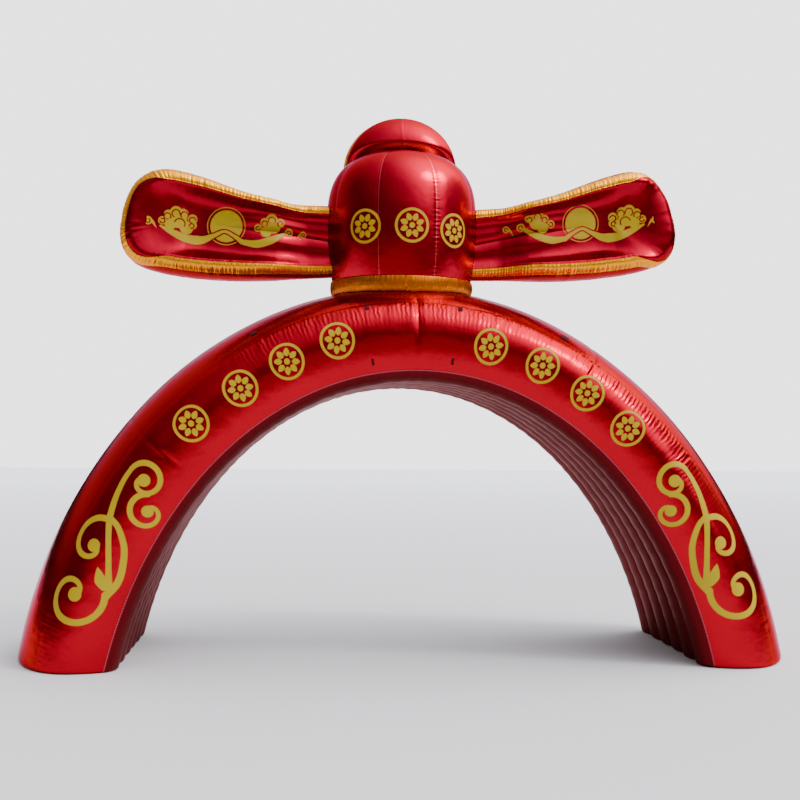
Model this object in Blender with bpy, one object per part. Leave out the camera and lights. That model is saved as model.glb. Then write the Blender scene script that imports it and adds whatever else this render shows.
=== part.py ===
"""Inflatable welcome arch with a winged hat on its crown.

Metres, +Z up, X along the span, Y through the depth with the front at -Y. The arch stands on z = 0
with the middle of its span and of its depth on the origin.
"""

import bmesh
import bpy
import numpy as np

# Tube: its inner face follows an ellipse whose centre lies under the ground
INNER_HALF_WIDTH = 2.251
INNER_HALF_HEIGHT = 2.942
CENTRE_DROP = 0.828
FACE_HALF_DEPTH = 0.873
THICK_FOOT = 0.794
THICK_SHOULDER = 0.786
THICK_CROWN = 0.748
LEFT_FULLNESS = 0.022  # added to the left shoulder's thickness and taken from the right one's
LEFT_FULLNESS_SPAN = 85.0
FOOT_ANGLE = np.pi / 2 - np.arcsin(CENTRE_DROP / INNER_HALF_HEIGHT)  # from the crown

# Tube: its front and rear panels stand out past the inner face and turn back in to meet it
WALL_HALF_DEPTH = 0.925
WIDEST_SHARE_CROWN = 0.51  # height of the widest place as a share of the thickness
WIDEST_SHARE_FOOT = 0.38
CORNER_RISE = 0.065
LOWER_FULLNESS = 2.3
SEAM_TURN = 60.0  # the top panel reaches this far to each side, in degrees of an ellipse
WIDEST_PLACE = 0.45  # share of a front or rear panel that lies above its widest place

# Tube: six channels on the inner face, three panels on the outer wall, rounded foot edge
CHANNELS = 6
CHANNEL_BULGE = 0.050
CHANNEL_BELOW = 0.40  # share of the bulge that hangs below the inner curve
CHANNEL_FULLNESS = 0.6
CHANNEL_STEPS = (0.0, 0.15, 0.5, 0.85)
PANELS = 3
PANEL_STEPS = (0.0, 0.07, 0.27, 0.5, 0.73, 0.93)
PANEL_SEAM_DRAW = 0.016
PANEL_SEAM_REACH = 0.07
FOOT_ROUNDING = 0.03
FOOT_ROUNDING_STEPS = 3
SECTION_MIDDLE = 0.4  # share of the thickness about which a cross seam draws the section in

# Rings along the tube, in degrees from the crown: on both sides, then on the left and on the right only.
# Between the last one and the foot edge each ring turns level step by step
STATIONS = (4.5, 9.5, 14.5, 19.5, 24.0, 30.5, 36.0, 46.5, 52.0, 58.0, 64.0)
LEFT_STATIONS = (-25.5, -39.0)
RIGHT_STATIONS = (40.0,)
SEAM_STATIONS = (-1.0, -0.3, 0.0, 0.3, 1.0)  # shares of a cross seam's half width
FOOT_BLEND = (0.65, 0.30)
FOOT_SEARCH = (50.0, 89.0)
HALVINGS = 40

# Seams across the tube: degrees from the crown (left is negative), inward draw, half width in degrees
CROSS_SEAMS = (
    (-43.0, 0.005, 1.0),
    (0.0, 0.024, 2.4),
    (27.0, 0.006, 1.0),
)

# Hat: its middle stands a little left of the crown
HAT_X = -0.055
BAND_TOP = 2.91
# Gold base drum: height, half width along X, half depth along Y
BAND_RINGS = (
    (2.910, 0.564, 0.564),
    (2.868, 0.572, 0.572),
    (2.820, 0.564, 0.564),
    (2.760, 0.550, 0.548),
    (2.600, 0.540, 0.535),
)
BODY_RADIUS = 0.596
BODY_WIDEST = 3.40
BODY_NECK_RADIUS = 0.564
BODY_DOME_RISE = 0.55
DOME_SQUARENESS = 2.8
GORES = 8
GORE_DRAW = 0.012
ROUND_STEPS = 48
NECK_RINGS = 5
DOME_TURNS = (0, 16, 30, 42, 53, 63, 72, 79, 85)

# Rear crown: outline half axes, its centre, and rows of scale from the centre and depth
CROWN_HALF_WIDTH = 0.443
CROWN_HALF_HEIGHT = 0.415
CROWN_MIDDLE = 3.86
CROWN_X = HAT_X + 0.005
CROWN_ROWS = (
    (0.20, -0.045),
    (0.40, -0.060),
    (0.60, -0.045),
    (0.78, -0.004),
    (0.91, 0.050),
    (0.985, 0.095),
    (1.005, 0.135),
    (0.980, 0.165),
    (1.015, 0.190),
    (1.045, 0.225),
    (1.045, 0.285),
    (1.010, 0.320),
    (0.970, 0.345),
    (0.950, 0.370),
    (0.880, 0.420),
    (0.700, 0.460),
    (0.400, 0.480),
)
CROWN_BAND_FIRST = 8
CROWN_BAND_LAST = 11
CROWN_STEPS = 36

# Wing: outline as reach from the hat's middle and height, from the root's top round the tip
WING_OUTLINE = (
    (0.30, 3.520),
    (0.80, 3.542),
    (1.20, 3.620),
    (1.60, 3.762),
    (1.88, 3.818),
    (2.055, 3.748),
    (2.165, 3.580),
    (2.212, 3.320),
    (2.165, 3.150),
    (2.020, 3.045),
    (1.70, 2.972),
    (1.30, 2.940),
    (0.80, 2.945),
    (0.30, 2.950),
)
WING_SPINE_START = (0.30, 3.235)
WING_SPINE_END = (1.70, 3.385)
WING_RUN_STEPS = 14
WING_TIP_STEPS = 16
WING_HALF_DEPTH = 0.25
WING_RIM_SHARE = 0.25
WING_RIM_POWER = 0.91
WING_CHANNEL_BULGE = 0.050
WING_CHANNEL_FADE = (1.10, 1.65)
WING_TIP_FILL = 0.35  # share by which the face is less sunken at the tip
WING_TIP_REACH = (1.55, 2.0)
WING_END = max(reach for reach, _ in WING_OUTLINE)
RIM_TURN = 150.0
BAND_TURN = (95.0, 50.0)
RIM_ANGLES = (150.0, 132.0, 114.0, 95.0, 72.5, 50.0, 25.0, 0.0, -25.0, -50.0, -80.0, -115.0, -150.0)
CHANNEL_SHARES = (0.0, 0.25, 0.5, 0.75)
# Per side: sign along X, rise at the root, rise at the tip, slide of the gold band at the tip in
# degrees, lean of the tip inward with height
WING_SIDES = (
    ("left", -1.0, -0.010, -0.055, -36.0, 0.0),
    ("right", 1.0, 0.0, 0.035, -72.0, 0.08),
)
BAND_SLIDE_REACH = (1.85, 2.15)

# Tie tabs: degrees from the crown, share of the outer wall from its rear corner, width and length
TIE_TABS = (
    (-23.1, 0.632, 0.045, 0.055),
    (-7.3, 0.690, 0.030, 0.045),
    (6.1, 0.690, 0.030, 0.045),
    (21.9, 0.640, 0.050, 0.080),
    (-7.8, 0.954, 0.020, 0.050),
    (5.9, 0.954, 0.020, 0.050),
)
TAB_ROOT = 0.03
TANGENT_STEP = 0.002

GAP = 0.0004
STRIP = 0.0026
MERGE_DISTANCE = 0.00002
SHARP_ANGLE = 40.0

# Name, colour, roughness, metallic
FINISHES = {
    "red_satin": ((0.60, 0.008, 0.006, 1.0), 0.28, 0.85),
    "gold_satin": ((0.72, 0.30, 0.02, 1.0), 0.32, 0.80),
    "dark_webbing": ((0.06, 0.004, 0.004, 1.0), 0.80, 0.0),
}


def clear_scene():
    for item in list(bpy.data.objects):
        bpy.data.objects.remove(item, do_unlink=True)


def material(name):
    found = bpy.data.materials.get(name)
    if found:
        return found
    colour, roughness, metallic = FINISHES[name]
    made = bpy.data.materials.new(name)
    made.use_nodes = True
    shader = made.node_tree.nodes["Principled BSDF"]
    shader.inputs["Base Color"].default_value = colour
    shader.inputs["Roughness"].default_value = roughness
    shader.inputs["Metallic"].default_value = metallic
    return made


def grid_triangles(rows, columns, closed):
    """Triangles over a grid of points, each cell cut along the same diagonal."""
    row = np.arange(rows - 1)[:, None]
    column = np.arange(columns if closed else columns - 1)[None, :]
    after = (column + 1) % columns
    a = row * columns + column
    b = row * columns + after
    c = (row + 1) * columns + after
    d = (row + 1) * columns + column
    first = np.stack([a, b, c], axis=-1).reshape(-1, 3)
    second = np.stack([a, c, d], axis=-1).reshape(-1, 3)
    return np.concatenate([first, second])


def make_solid(name, points, triangles, finish, holes=True):
    """One closed body from points and triangles, open rims filled and faces turned outward."""
    mesh = bpy.data.meshes.new(name)
    mesh.from_pydata(points.tolist(), [], triangles.tolist())
    body = bmesh.new()
    body.from_mesh(mesh)
    bmesh.ops.remove_doubles(body, verts=body.verts, dist=MERGE_DISTANCE)
    if holes:
        rims = [edge for edge in body.edges if edge.is_boundary]
        bmesh.ops.holes_fill(body, edges=rims, sides=0)
    bmesh.ops.recalc_face_normals(body, faces=body.faces)
    if body.calc_volume(signed=True) < 0:
        bmesh.ops.reverse_faces(body, faces=body.faces)
    body.to_mesh(mesh)
    body.free()
    mesh.shade_smooth()
    mesh.set_sharp_from_angle(angle=np.radians(SHARP_ANGLE))
    mesh.materials.append(material(finish))
    made = bpy.data.objects.new(name, mesh)
    bpy.context.collection.objects.link(made)
    return made


def as_cutter(item):
    item.hide_render = True
    item.display_type = "WIRE"
    return item


def cut(item, cutter):
    modifier = item.modifiers.new("cut_" + cutter.name, "BOOLEAN")
    modifier.operation = "DIFFERENCE"
    modifier.solver = "EXACT"
    modifier.object = cutter


def crease(distance, reach):
    """1 on a seam, falling to 0 at reach, steepest next to the seam."""
    return np.clip(1 - np.abs(distance) / reach, 0, 1) ** 2


def tube_thickness(angle):
    """Thickness at an angle: a parabola through crown, shoulder and foot, a little more on the left."""
    share = (angle / FOOT_ANGLE) ** 2
    middle = THICK_SHOULDER - 0.5 * (THICK_CROWN + THICK_FOOT)
    even = THICK_CROWN + (THICK_FOOT - THICK_CROWN) * share + 4 * middle * share * (1 - share)
    return even - LEFT_FULLNESS * np.sin(np.pi * np.degrees(angle) / LEFT_FULLNESS_SPAN)


def cross_seam_draw(angle):
    degrees = np.degrees(angle)
    return sum(draw * crease(degrees - place, reach) for place, draw, reach in CROSS_SEAMS)


def section_shares():
    """Shares round the section: below 1 across the inner face, from 1 to 2 over the outer wall."""
    inner = np.arange(CHANNELS)[:, None] + np.array(CHANNEL_STEPS)
    outer = np.arange(PANELS)[:, None] + np.array(PANEL_STEPS)
    return np.concatenate([inner.ravel() / CHANNELS, 1 + outer.ravel() / PANELS])


def wall_section(angle, share):
    """Offset and depth of the outer wall for shares from its rear corner (0) to its front corner (1).

    An ellipse from the top down to the widest place, then a squarer curve back in to the corner.
    """
    thick = tube_thickness(angle)
    along_leg = (angle / FOOT_ANGLE) ** 2
    widest = thick * (WIDEST_SHARE_CROWN + (WIDEST_SHARE_FOOT - WIDEST_SHARE_CROWN) * along_leg)
    side = 2 * np.abs(share - 0.5)
    seam, widest_side = 1 / PANELS, 1 / PANELS + (1 - 1 / PANELS) * WIDEST_PLACE
    turn = np.radians(np.interp(side, (0, seam, widest_side, 1), (0, SEAM_TURN, 90, 90)))
    below = np.clip((side - widest_side) / (1 - widest_side), 0, 1)
    corner_share = (1 - (FACE_HALF_DEPTH / WALL_HALF_DEPTH) ** LOWER_FULLNESS) ** (1 / LOWER_FULLNESS)
    narrowing = (1 - (corner_share * below) ** LOWER_FULLNESS) ** (1 / LOWER_FULLNESS)
    offset = widest + (thick - widest) * np.cos(turn) - (widest - CORNER_RISE) * below
    return offset, WALL_HALF_DEPTH * np.sin(turn) * narrowing * np.sign(0.5 - share)


def face_section(share):
    """Offset and depth of the inner face, whose channels hang a little below the inner curve."""
    channel = np.sin(np.pi * ((share * CHANNELS) % 1.0)) ** CHANNEL_FULLNESS
    from_edge = np.minimum(share, 1 - share) * CHANNELS
    seam_level = CHANNEL_BULGE * (1 - CHANNEL_BELOW)
    level = seam_level + (CORNER_RISE - seam_level) * np.clip(1 - from_edge, 0, 1)
    offset = level + (seam_level - CHANNEL_BULGE - level) * channel
    return offset, FACE_HALF_DEPTH * (2 * share - 1)


def tube_section(angle, share, grow=0.0):
    """Outward offset from the inner curve and depth, for an angle and a share of the section."""
    face_offset, face_depth = face_section(np.clip(share, 0, 1))
    wall_offset, wall_depth = wall_section(angle, np.clip(share - 1, 0, 1))
    on_face = share < 1
    offset = np.where(on_face, face_offset, wall_offset)
    depth = np.where(on_face, face_depth, wall_depth)
    seam = (share - 1) * PANELS
    inside = (seam > 0.5) & (seam < PANELS - 0.5)
    seam_draw = PANEL_SEAM_DRAW * crease(np.abs(seam - np.round(seam)), PANEL_SEAM_REACH) * inside
    thick = tube_thickness(angle)
    middle = SECTION_MIDDLE * thick
    from_middle = np.hypot(offset - middle, depth)
    drawn = 1 - cross_seam_draw(angle) / (0.5 * thick) + (grow - seam_draw) / from_middle
    return middle + (offset - middle) * drawn, depth * drawn


def tube_points(angle, share, grow=0.0):
    """Points of the tube's skin for angles from the crown and shares round the section."""
    offset, depth = tube_section(angle, share, grow)
    x = INNER_HALF_WIDTH * np.sin(angle)
    z = INNER_HALF_HEIGHT * np.cos(angle) - CENTRE_DROP
    run_x = INNER_HALF_WIDTH * np.cos(angle)
    run_z = -INNER_HALF_HEIGHT * np.sin(angle)
    length = np.hypot(run_x, run_z)
    return np.stack([x - run_z / length * offset, depth, z + run_x / length * offset], axis=-1)


def angle_at_height(share, height, grow):
    """Angle at which each lengthwise line of the tube comes down to a height, by halving."""
    low, high = (np.full(share.shape, np.radians(value)) for value in FOOT_SEARCH)
    for _ in range(HALVINGS):
        middle = 0.5 * (low + high)
        above = tube_points(middle, share, grow)[..., 2] > height
        low = np.where(above, middle, low)
        high = np.where(above, high, middle)
    return 0.5 * (low + high)


def station_angles():
    """Angles of the rings between the two feet, closer together at the cross seams."""
    angles = list(STATIONS + LEFT_STATIONS + RIGHT_STATIONS) + [-value for value in STATIONS]
    for place, _, reach in CROSS_SEAMS:
        angles += [place + reach * part for part in SEAM_STATIONS]
    return np.radians(np.unique(angles))


def foot_rings(side, share, grow):
    """Rings of one leg from its level, rounded foot edge up to the first station."""
    turns = np.linspace(0, np.pi / 2, FOOT_ROUNDING_STEPS + 1)
    hem = [angle_at_height(share, height, grow) for height in FOOT_ROUNDING * (1 - np.cos(turns))]
    last = np.radians(STATIONS[-1])
    blend = [last + (hem[-1] - last) * part for part in FOOT_BLEND]
    rings = [tube_points(side * angles, share, grow) for angles in hem + blend]
    centre = rings[0][:, :2].mean(axis=0)
    for ring, turn in zip(rings, turns):
        away = ring[:, :2] - centre
        inset = FOOT_ROUNDING * (1 - np.sin(turn))
        ring[:, :2] -= away * inset / np.linalg.norm(away, axis=1, keepdims=True)
    rings[0][:, 2] = 0.0
    return rings


def tube_grid(grow=0.0):
    """Rings of the tube from the left foot over the crown to the right foot."""
    share = section_shares()
    middle = [tube_points(np.full(share.shape, angle), share, grow) for angle in station_angles()]
    return np.array(foot_rings(-1, share, grow) + middle + foot_rings(1, share, grow)[::-1])


def make_tube(name, grow=0.0):
    grid = tube_grid(grow)
    triangles = grid_triangles(grid.shape[0], grid.shape[1], closed=True)
    return make_solid(name, grid.reshape(-1, 3), triangles, "red_satin")


def ring_points(radius_x, radius_y, height, draw=0.0):
    """A level ring round the hat's middle, drawn in at the gore seams."""
    turn = np.arange(ROUND_STEPS) * 2 * np.pi / ROUND_STEPS
    seam = (turn / (2 * np.pi) * GORES + 0.5) % 1.0 - 0.5
    pull = 1 - draw * (1 - 2 * np.abs(seam)) ** 2
    x = HAT_X + radius_x * pull * np.sin(turn + np.pi / GORES)
    y = -radius_y * pull * np.cos(turn + np.pi / GORES)
    return np.stack([x, y, np.full(turn.shape, height)], axis=-1)


def make_rings(name, rings, finish):
    grid = np.array(rings)
    triangles = grid_triangles(grid.shape[0], grid.shape[1], closed=True)
    return make_solid(name, grid.reshape(-1, 3), triangles, finish)


def make_hat_band():
    rings = [ring_points(half_width, half_depth, height) for height, half_width, half_depth in BAND_RINGS]
    return make_rings("hat_band", rings, "gold_satin")


def make_hat_body(name, grow=0.0):
    """A squared dome over a neck that narrows, cut into gores."""
    bottom = BAND_TOP + GAP
    rings = []
    for height in np.linspace(bottom - grow, BODY_WIDEST, NECK_RINGS, endpoint=False):
        share = (BODY_WIDEST - height) / (BODY_WIDEST - BAND_TOP)
        radius = BODY_RADIUS - (BODY_RADIUS - BODY_NECK_RADIUS) * share**2 + grow
        rings.append(ring_points(radius, radius, height, GORE_DRAW * (1 - share) / radius))
    power = 2 / DOME_SQUARENESS
    for turn in np.radians(DOME_TURNS):
        radius = BODY_RADIUS * np.cos(turn) ** power + grow
        height = BODY_WIDEST + BODY_DOME_RISE * np.sin(turn) ** power + grow * np.sin(turn)
        rings.append(ring_points(radius, radius, height, GORE_DRAW / BODY_RADIUS))
    return make_rings(name, rings, "red_satin")


def grid_normals(grid, closed_columns):
    """Unit normals of a grid of points from the differences along its rows and columns."""
    along = np.gradient(grid, axis=0)
    if closed_columns:
        across = np.roll(grid, -1, axis=1) - np.roll(grid, 1, axis=1)
    else:
        across = np.gradient(grid, axis=1)
    normal = np.cross(along, across)
    return normal / np.maximum(np.linalg.norm(normal, axis=-1, keepdims=True), 1e-9)


def make_strip(name, grid, normals, closed_columns, finish):
    """A thin strip that lies on a grid of points, STRIP thick and GAP off the skin."""
    inner = grid + normals * GAP
    outer = grid + normals * (GAP + STRIP)
    rows, columns = grid.shape[:2]
    count = rows * columns
    skin = grid_triangles(rows, columns, closed_columns)
    index = np.arange(count).reshape(rows, columns)
    walls = [index[0, :], index[-1, ::-1]]
    if not closed_columns:
        walls += [index[::-1, 0], index[:, -1]]
    sides = []
    for line in walls:
        after = np.roll(line, -1) if closed_columns else line[1:]
        start = line if closed_columns else line[:-1]
        sides.append(np.stack([start, after, after + count], axis=-1))
        sides.append(np.stack([start, after + count, start + count], axis=-1))
    triangles = np.concatenate([skin[:, ::-1], skin + count] + sides)
    points = np.concatenate([inner.reshape(-1, 3), outer.reshape(-1, 3)])
    return make_solid(name, points, triangles, finish, holes=False)


def crown_grid():
    """Rows of the rear crown: one ellipse outline, scaled and set back row by row."""
    turn = np.arange(CROWN_STEPS) * 2 * np.pi / CROWN_STEPS
    scale, depth = np.array(CROWN_ROWS).T
    x = CROWN_X + CROWN_HALF_WIDTH * scale[:, None] * np.cos(turn)[None, :]
    z = CROWN_MIDDLE + CROWN_HALF_HEIGHT * scale[:, None] * np.sin(turn)[None, :]
    y = np.broadcast_to(depth[:, None], x.shape)
    return np.stack([x, y, z], axis=-1)


def make_crown():
    grid = crown_grid()
    triangles = grid_triangles(grid.shape[0], grid.shape[1], closed=True)
    return make_solid("hat_crown", grid.reshape(-1, 3), triangles, "red_satin")


def outward(grid, normals, middle):
    """The normals, turned where most of them point at the middle."""
    away = ((grid - middle) * normals).sum()
    return normals if away > 0 else -normals


def make_crown_band():
    grid = crown_grid()
    middle = np.array([CROWN_X, 0.2, CROWN_MIDDLE])
    normals = outward(grid, grid_normals(grid, closed_columns=True), middle)
    chosen = slice(CROWN_BAND_FIRST, CROWN_BAND_LAST + 1)
    return make_strip("crown_band", grid[chosen], normals[chosen], True, "gold_satin")


def smooth_path(points, steps=16):
    """A curve through the points, cubic between each pair with its neighbours as tangents."""
    p = np.array(points)
    before = np.vstack([2 * p[0] - p[1], p[:-2]])
    after = np.vstack([p[2:], 2 * p[-1] - p[-2]])
    start, end = p[:-1], p[1:]
    t = np.linspace(0, 1, steps, endpoint=False)[None, :, None]
    leave = 0.5 * (end - before)[:, None, :]
    arrive = 0.5 * (after - start)[:, None, :]
    a = start[:, None, :]
    b = end[:, None, :]
    curve = (
        (2 * t**3 - 3 * t**2 + 1) * a
        + (t**3 - 2 * t**2 + t) * leave
        + (3 * t**2 - 2 * t**3) * b
        + (t**3 - t**2) * arrive
    )
    return np.vstack([curve.reshape(-1, 2), p[-1:]])


def wing_lines():
    """Outline points and the spine points that they fan out from, root top to root bottom."""
    path = smooth_path(WING_OUTLINE)
    turn = int(np.argmax(path[:, 0]))
    top, bottom = path[: turn + 1], path[turn:][::-1]
    reach = np.linspace(WING_SPINE_START[0], WING_SPINE_END[0], WING_RUN_STEPS + 1)
    top_run = np.stack([reach, np.interp(reach, top[:, 0], top[:, 1])], axis=-1)
    bottom_run = np.stack([reach, np.interp(reach, bottom[:, 0], bottom[:, 1])], axis=-1)
    ahead = path[:, 0] > WING_SPINE_END[0]
    tip = np.vstack([top_run[-1:], path[ahead], bottom_run[-1:]])
    length = np.concatenate([[0], np.cumsum(np.linalg.norm(np.diff(tip, axis=0), axis=1))])
    even = np.linspace(0, length[-1], WING_TIP_STEPS + 1)[1:-1]
    tip = np.stack([np.interp(even, length, tip[:, 0]), np.interp(even, length, tip[:, 1])], axis=-1)
    outline = np.vstack([top_run, tip, bottom_run[::-1]])
    share = np.clip((outline[:, 0] - WING_SPINE_START[0]) / (reach[-1] - reach[0]), 0, 1)[:, None]
    spine = np.array(WING_SPINE_START) * (1 - share) + np.array(WING_SPINE_END) * share
    return outline, spine


def signed_power(value, power):
    return np.sign(value) * np.abs(value) ** power


def smooth_step(value, low, high):
    t = np.clip((value - low) / (high - low), 0, 1)
    return t * t * (3 - 2 * t)


def rim_section(turn, reach):
    """Across share and depth of the rim at turns round it, less sunken past its crest near the tip."""
    fill = WING_TIP_FILL * smooth_step(reach, *WING_TIP_REACH)
    past_crest = np.maximum(np.abs(turn) - BAND_TURN[0], 0)
    turn = np.radians(turn - np.sign(turn) * past_crest * fill)
    across = 1 - WING_RIM_SHARE + WING_RIM_SHARE * signed_power(np.cos(turn), WING_RIM_POWER)
    return across, -WING_HALF_DEPTH * signed_power(np.sin(turn), WING_RIM_POWER)


def wing_grid(sign, root_rise, tip_rise, slide, lean):
    """Rows round the outline, columns from the front spine over the rim to the rear spine."""
    outline, spine = wing_lines()
    at_tip = smooth_step(outline[:, 0], *BAND_SLIDE_REACH)[:, None]
    base = np.array(RIM_ANGLES)[None, :]
    ahead = (RIM_TURN - base) / (RIM_TURN - BAND_TURN[0])
    behind = (RIM_TURN + base) / (RIM_TURN + BAND_TURN[1])
    turn = base + slide * at_tip * np.minimum(np.minimum(ahead, behind), 1)
    rim_across, rim_depth = rim_section(turn, outline[:, :1])
    share = np.array(CHANNEL_SHARES)[None, :]
    bulge = WING_CHANNEL_BULGE * (1 - smooth_step(outline[:, :1], *WING_CHANNEL_FADE))
    spine_depth = rim_section(RIM_TURN, spine[:, :1])[1]
    face_across = rim_across[:, :1] * share
    face_depth = spine_depth + (rim_depth[:, :1] - spine_depth) * share
    face_depth = face_depth - bulge * np.sin(np.pi * share) ** CHANNEL_FULLNESS
    across = np.hstack([face_across, rim_across, face_across[:, ::-1]])
    depth = np.hstack([face_depth, rim_depth, -face_depth[:, ::-1]])
    reach = spine[:, :1] + (outline[:, :1] - spine[:, :1]) * across
    height = spine[:, 1:] + (outline[:, 1:] - spine[:, 1:]) * across
    share_out = (reach - BODY_RADIUS) / (WING_END - BODY_RADIUS)
    reach = reach - lean * (height - WING_SPINE_END[1]) * smooth_step(reach, *WING_TIP_REACH)
    height = height + root_rise + (tip_rise - root_rise) * share_out
    return np.stack([HAT_X + sign * reach, depth, height], axis=-1)


def make_wing(side, *shape):
    grid = wing_grid(*shape)
    triangles = grid_triangles(grid.shape[0], grid.shape[1], closed=False)
    return make_solid("wing_" + side, grid.reshape(-1, 3), triangles, "red_satin")


def make_wing_band(side, *shape):
    grid = wing_grid(*shape)
    middle = grid.mean(axis=(0, 1))
    normals = outward(grid, grid_normals(grid, closed_columns=False), middle)
    first = len(CHANNEL_SHARES) + RIM_ANGLES.index(BAND_TURN[0])
    last = len(CHANNEL_SHARES) + RIM_ANGLES.index(BAND_TURN[1])
    chosen = slice(first, last + 1)
    return make_strip("wing_band_" + side, grid[:, chosen], normals[:, chosen], False, "gold_satin")


def make_tab(number, degrees, share, tab_width, tab_length):
    """A flat tab on the tube's front, its root inside the tube so that the cut seats it."""
    angle = np.radians(degrees)
    place = tube_points(np.array(angle), np.array(1 + share))
    along = tube_points(np.array(angle + TANGENT_STEP), np.array(1 + share)) - place
    down = tube_points(np.array(angle), np.array(1 + share + TANGENT_STEP)) - place
    along /= np.linalg.norm(along)
    down -= along * (along @ down)
    down /= np.linalg.norm(down)
    out = np.cross(down, along)
    if out[1] > 0:
        out = -out
    half_along = along * tab_width / 2
    half_down = down * tab_length / 2
    corners = [half_along + half_down, half_down - half_along, -half_along - half_down]
    corners.append(half_along - half_down)
    rings = [[place + corner + out * height for corner in corners] for height in (-TAB_ROOT, STRIP + GAP)]
    grid = np.array(rings)
    triangles = grid_triangles(2, 4, closed=True)
    return make_solid("tie_tab_%d" % number, grid.reshape(-1, 3), triangles, "dark_webbing")


def main():
    clear_scene()
    make_tube("arch_tube")
    make_hat_body("hat_body")
    tube_cutter = as_cutter(make_tube("tube_cutter", grow=GAP))
    body_cutter = as_cutter(make_hat_body("body_cutter", grow=GAP))
    cut(make_hat_band(), tube_cutter)
    cut(make_crown(), body_cutter)
    cut(make_crown_band(), body_cutter)
    for side in WING_SIDES:
        cut(make_wing(*side), body_cutter)
        cut(make_wing_band(*side), body_cutter)
    for number, tab in enumerate(TIE_TABS, start=1):
        cut(make_tab(number, *tab), tube_cutter)


main()
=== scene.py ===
"""Looks of the inflatable welcome arch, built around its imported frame.

Metres, +Z up, X along the span, Y through the depth with the front at -Y. Every skin is a grid of
points worked out from two parameters, and the sizes are those of the solids that it replaces.
"""

import bpy
import numpy as np
from mathutils import Matrix


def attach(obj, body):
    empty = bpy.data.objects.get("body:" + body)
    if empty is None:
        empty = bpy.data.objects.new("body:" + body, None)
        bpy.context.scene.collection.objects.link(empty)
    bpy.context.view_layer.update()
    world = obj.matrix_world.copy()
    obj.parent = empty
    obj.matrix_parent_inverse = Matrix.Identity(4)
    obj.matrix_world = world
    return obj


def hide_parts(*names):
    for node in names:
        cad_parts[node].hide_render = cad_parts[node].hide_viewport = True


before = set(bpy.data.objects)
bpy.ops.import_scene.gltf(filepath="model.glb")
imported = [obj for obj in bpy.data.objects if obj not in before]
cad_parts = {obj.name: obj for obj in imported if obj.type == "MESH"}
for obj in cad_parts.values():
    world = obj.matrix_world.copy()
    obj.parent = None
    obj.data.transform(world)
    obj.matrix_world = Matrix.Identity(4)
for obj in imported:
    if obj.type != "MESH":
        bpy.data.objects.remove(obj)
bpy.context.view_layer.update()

# Tube
INNER_HALF_WIDTH = 2.251
INNER_HALF_HEIGHT = 2.942
CENTRE_DROP = 0.828
FACE_HALF_DEPTH = 0.873
THICK_FOOT = 0.794
THICK_SHOULDER = 0.786
THICK_CROWN = 0.748
LEFT_FULLNESS = 0.022
LEFT_FULLNESS_SPAN = 85.0
FOOT_ANGLE = np.pi / 2 - np.arcsin(CENTRE_DROP / INNER_HALF_HEIGHT)
WALL_HALF_DEPTH = 0.925
WIDEST_SHARE_CROWN = 0.51
WIDEST_SHARE_FOOT = 0.38
CORNER_RISE = 0.065
LOWER_FULLNESS = 2.3
SEAM_TURN = 60.0
WIDEST_PLACE = 0.45
CHANNELS = 6
CHANNEL_BULGE = 0.050
CHANNEL_BELOW = 0.40
CHANNEL_FULLNESS = 0.6
PANELS = 3
PANEL_SEAM_DRAW = 0.003
PANEL_SEAM_REACH = 0.07
FOOT_ROUNDING = 0.03
SECTION_MIDDLE = 0.4
CROSS_SEAMS = (
    (-43.0, 0.003, 0.8),
    (0.0, 0.005, 1.2),
    (27.0, 0.003, 0.8),
)

# Tube skin: places across one channel and one panel, closer together at the seams
CHANNEL_PLACES = (0.0, 0.05, 0.15, 0.32, 0.5, 0.68, 0.85, 0.95)
PANEL_PLACES = (
    0.0, 0.008, 0.02, 0.04, 0.07, 0.11, 0.16, 0.23, 0.32, 0.43,
    0.57, 0.68, 0.77, 0.84, 0.89, 0.93, 0.96, 0.98, 0.992,
)
BUSY_SPAN = (-30.0, 50.0)
LEVEL_ANGLE = 64.0
FINE_STEP = 0.0062
COARSE_STEP = 0.016
FOOT_SEARCH = (50.0, 89.0)

# Metres from a lengthwise seam for each unit of share, on its front side and on its top side
FRONT_METRES = 1.9
TOP_METRES = 4.3

# Puckers: length along the seam, height, reach across it
PUCKER_WAVES = (
    (0.067, 0.0010, 0.130),
    (0.119, 0.0020, 0.170),
    (0.190, 0.0026, 0.220),
)
TOP_SIDE_STRENGTH = 0.15  # share of a seam's puckers on its top side
# Strength of the tube's puckers: degrees from the crown, front seam, rear seam
PUCKER_STRENGTH = (
    (-75, 0.05, 0.2),
    (-48, 0.10, 0.5),
    (-30, 0.15, 0.8),
    (-22, 0.80, 0.7),
    (-8, 1.10, 0.9),
    (0, 1.30, 1.2),
    (8, 1.20, 1.0),
    (20, 0.60, 0.8),
    (33, 1.00, 0.5),
    (44, 1.30, 0.4),
    (50, 0.45, 0.3),
    (54, 0.10, 0.3),
    (75, 0.05, 0.2),
)

# Hat
HAT_X = -0.055
BAND_TOP = 2.91
BAND_MIDDLE = 0.572
BAND_FOOT = 0.552
BODY_RADIUS = 0.596
BODY_WIDEST = 3.40
BODY_NECK_RADIUS = 0.564
BODY_FOOT_RADIUS = 0.552
BODY_DOME_RISE = 0.55
DOME_SQUARENESS = 2.8
GORES = 8
GORE_DRAW = 0.012
ROUND_STEPS = 192

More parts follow.
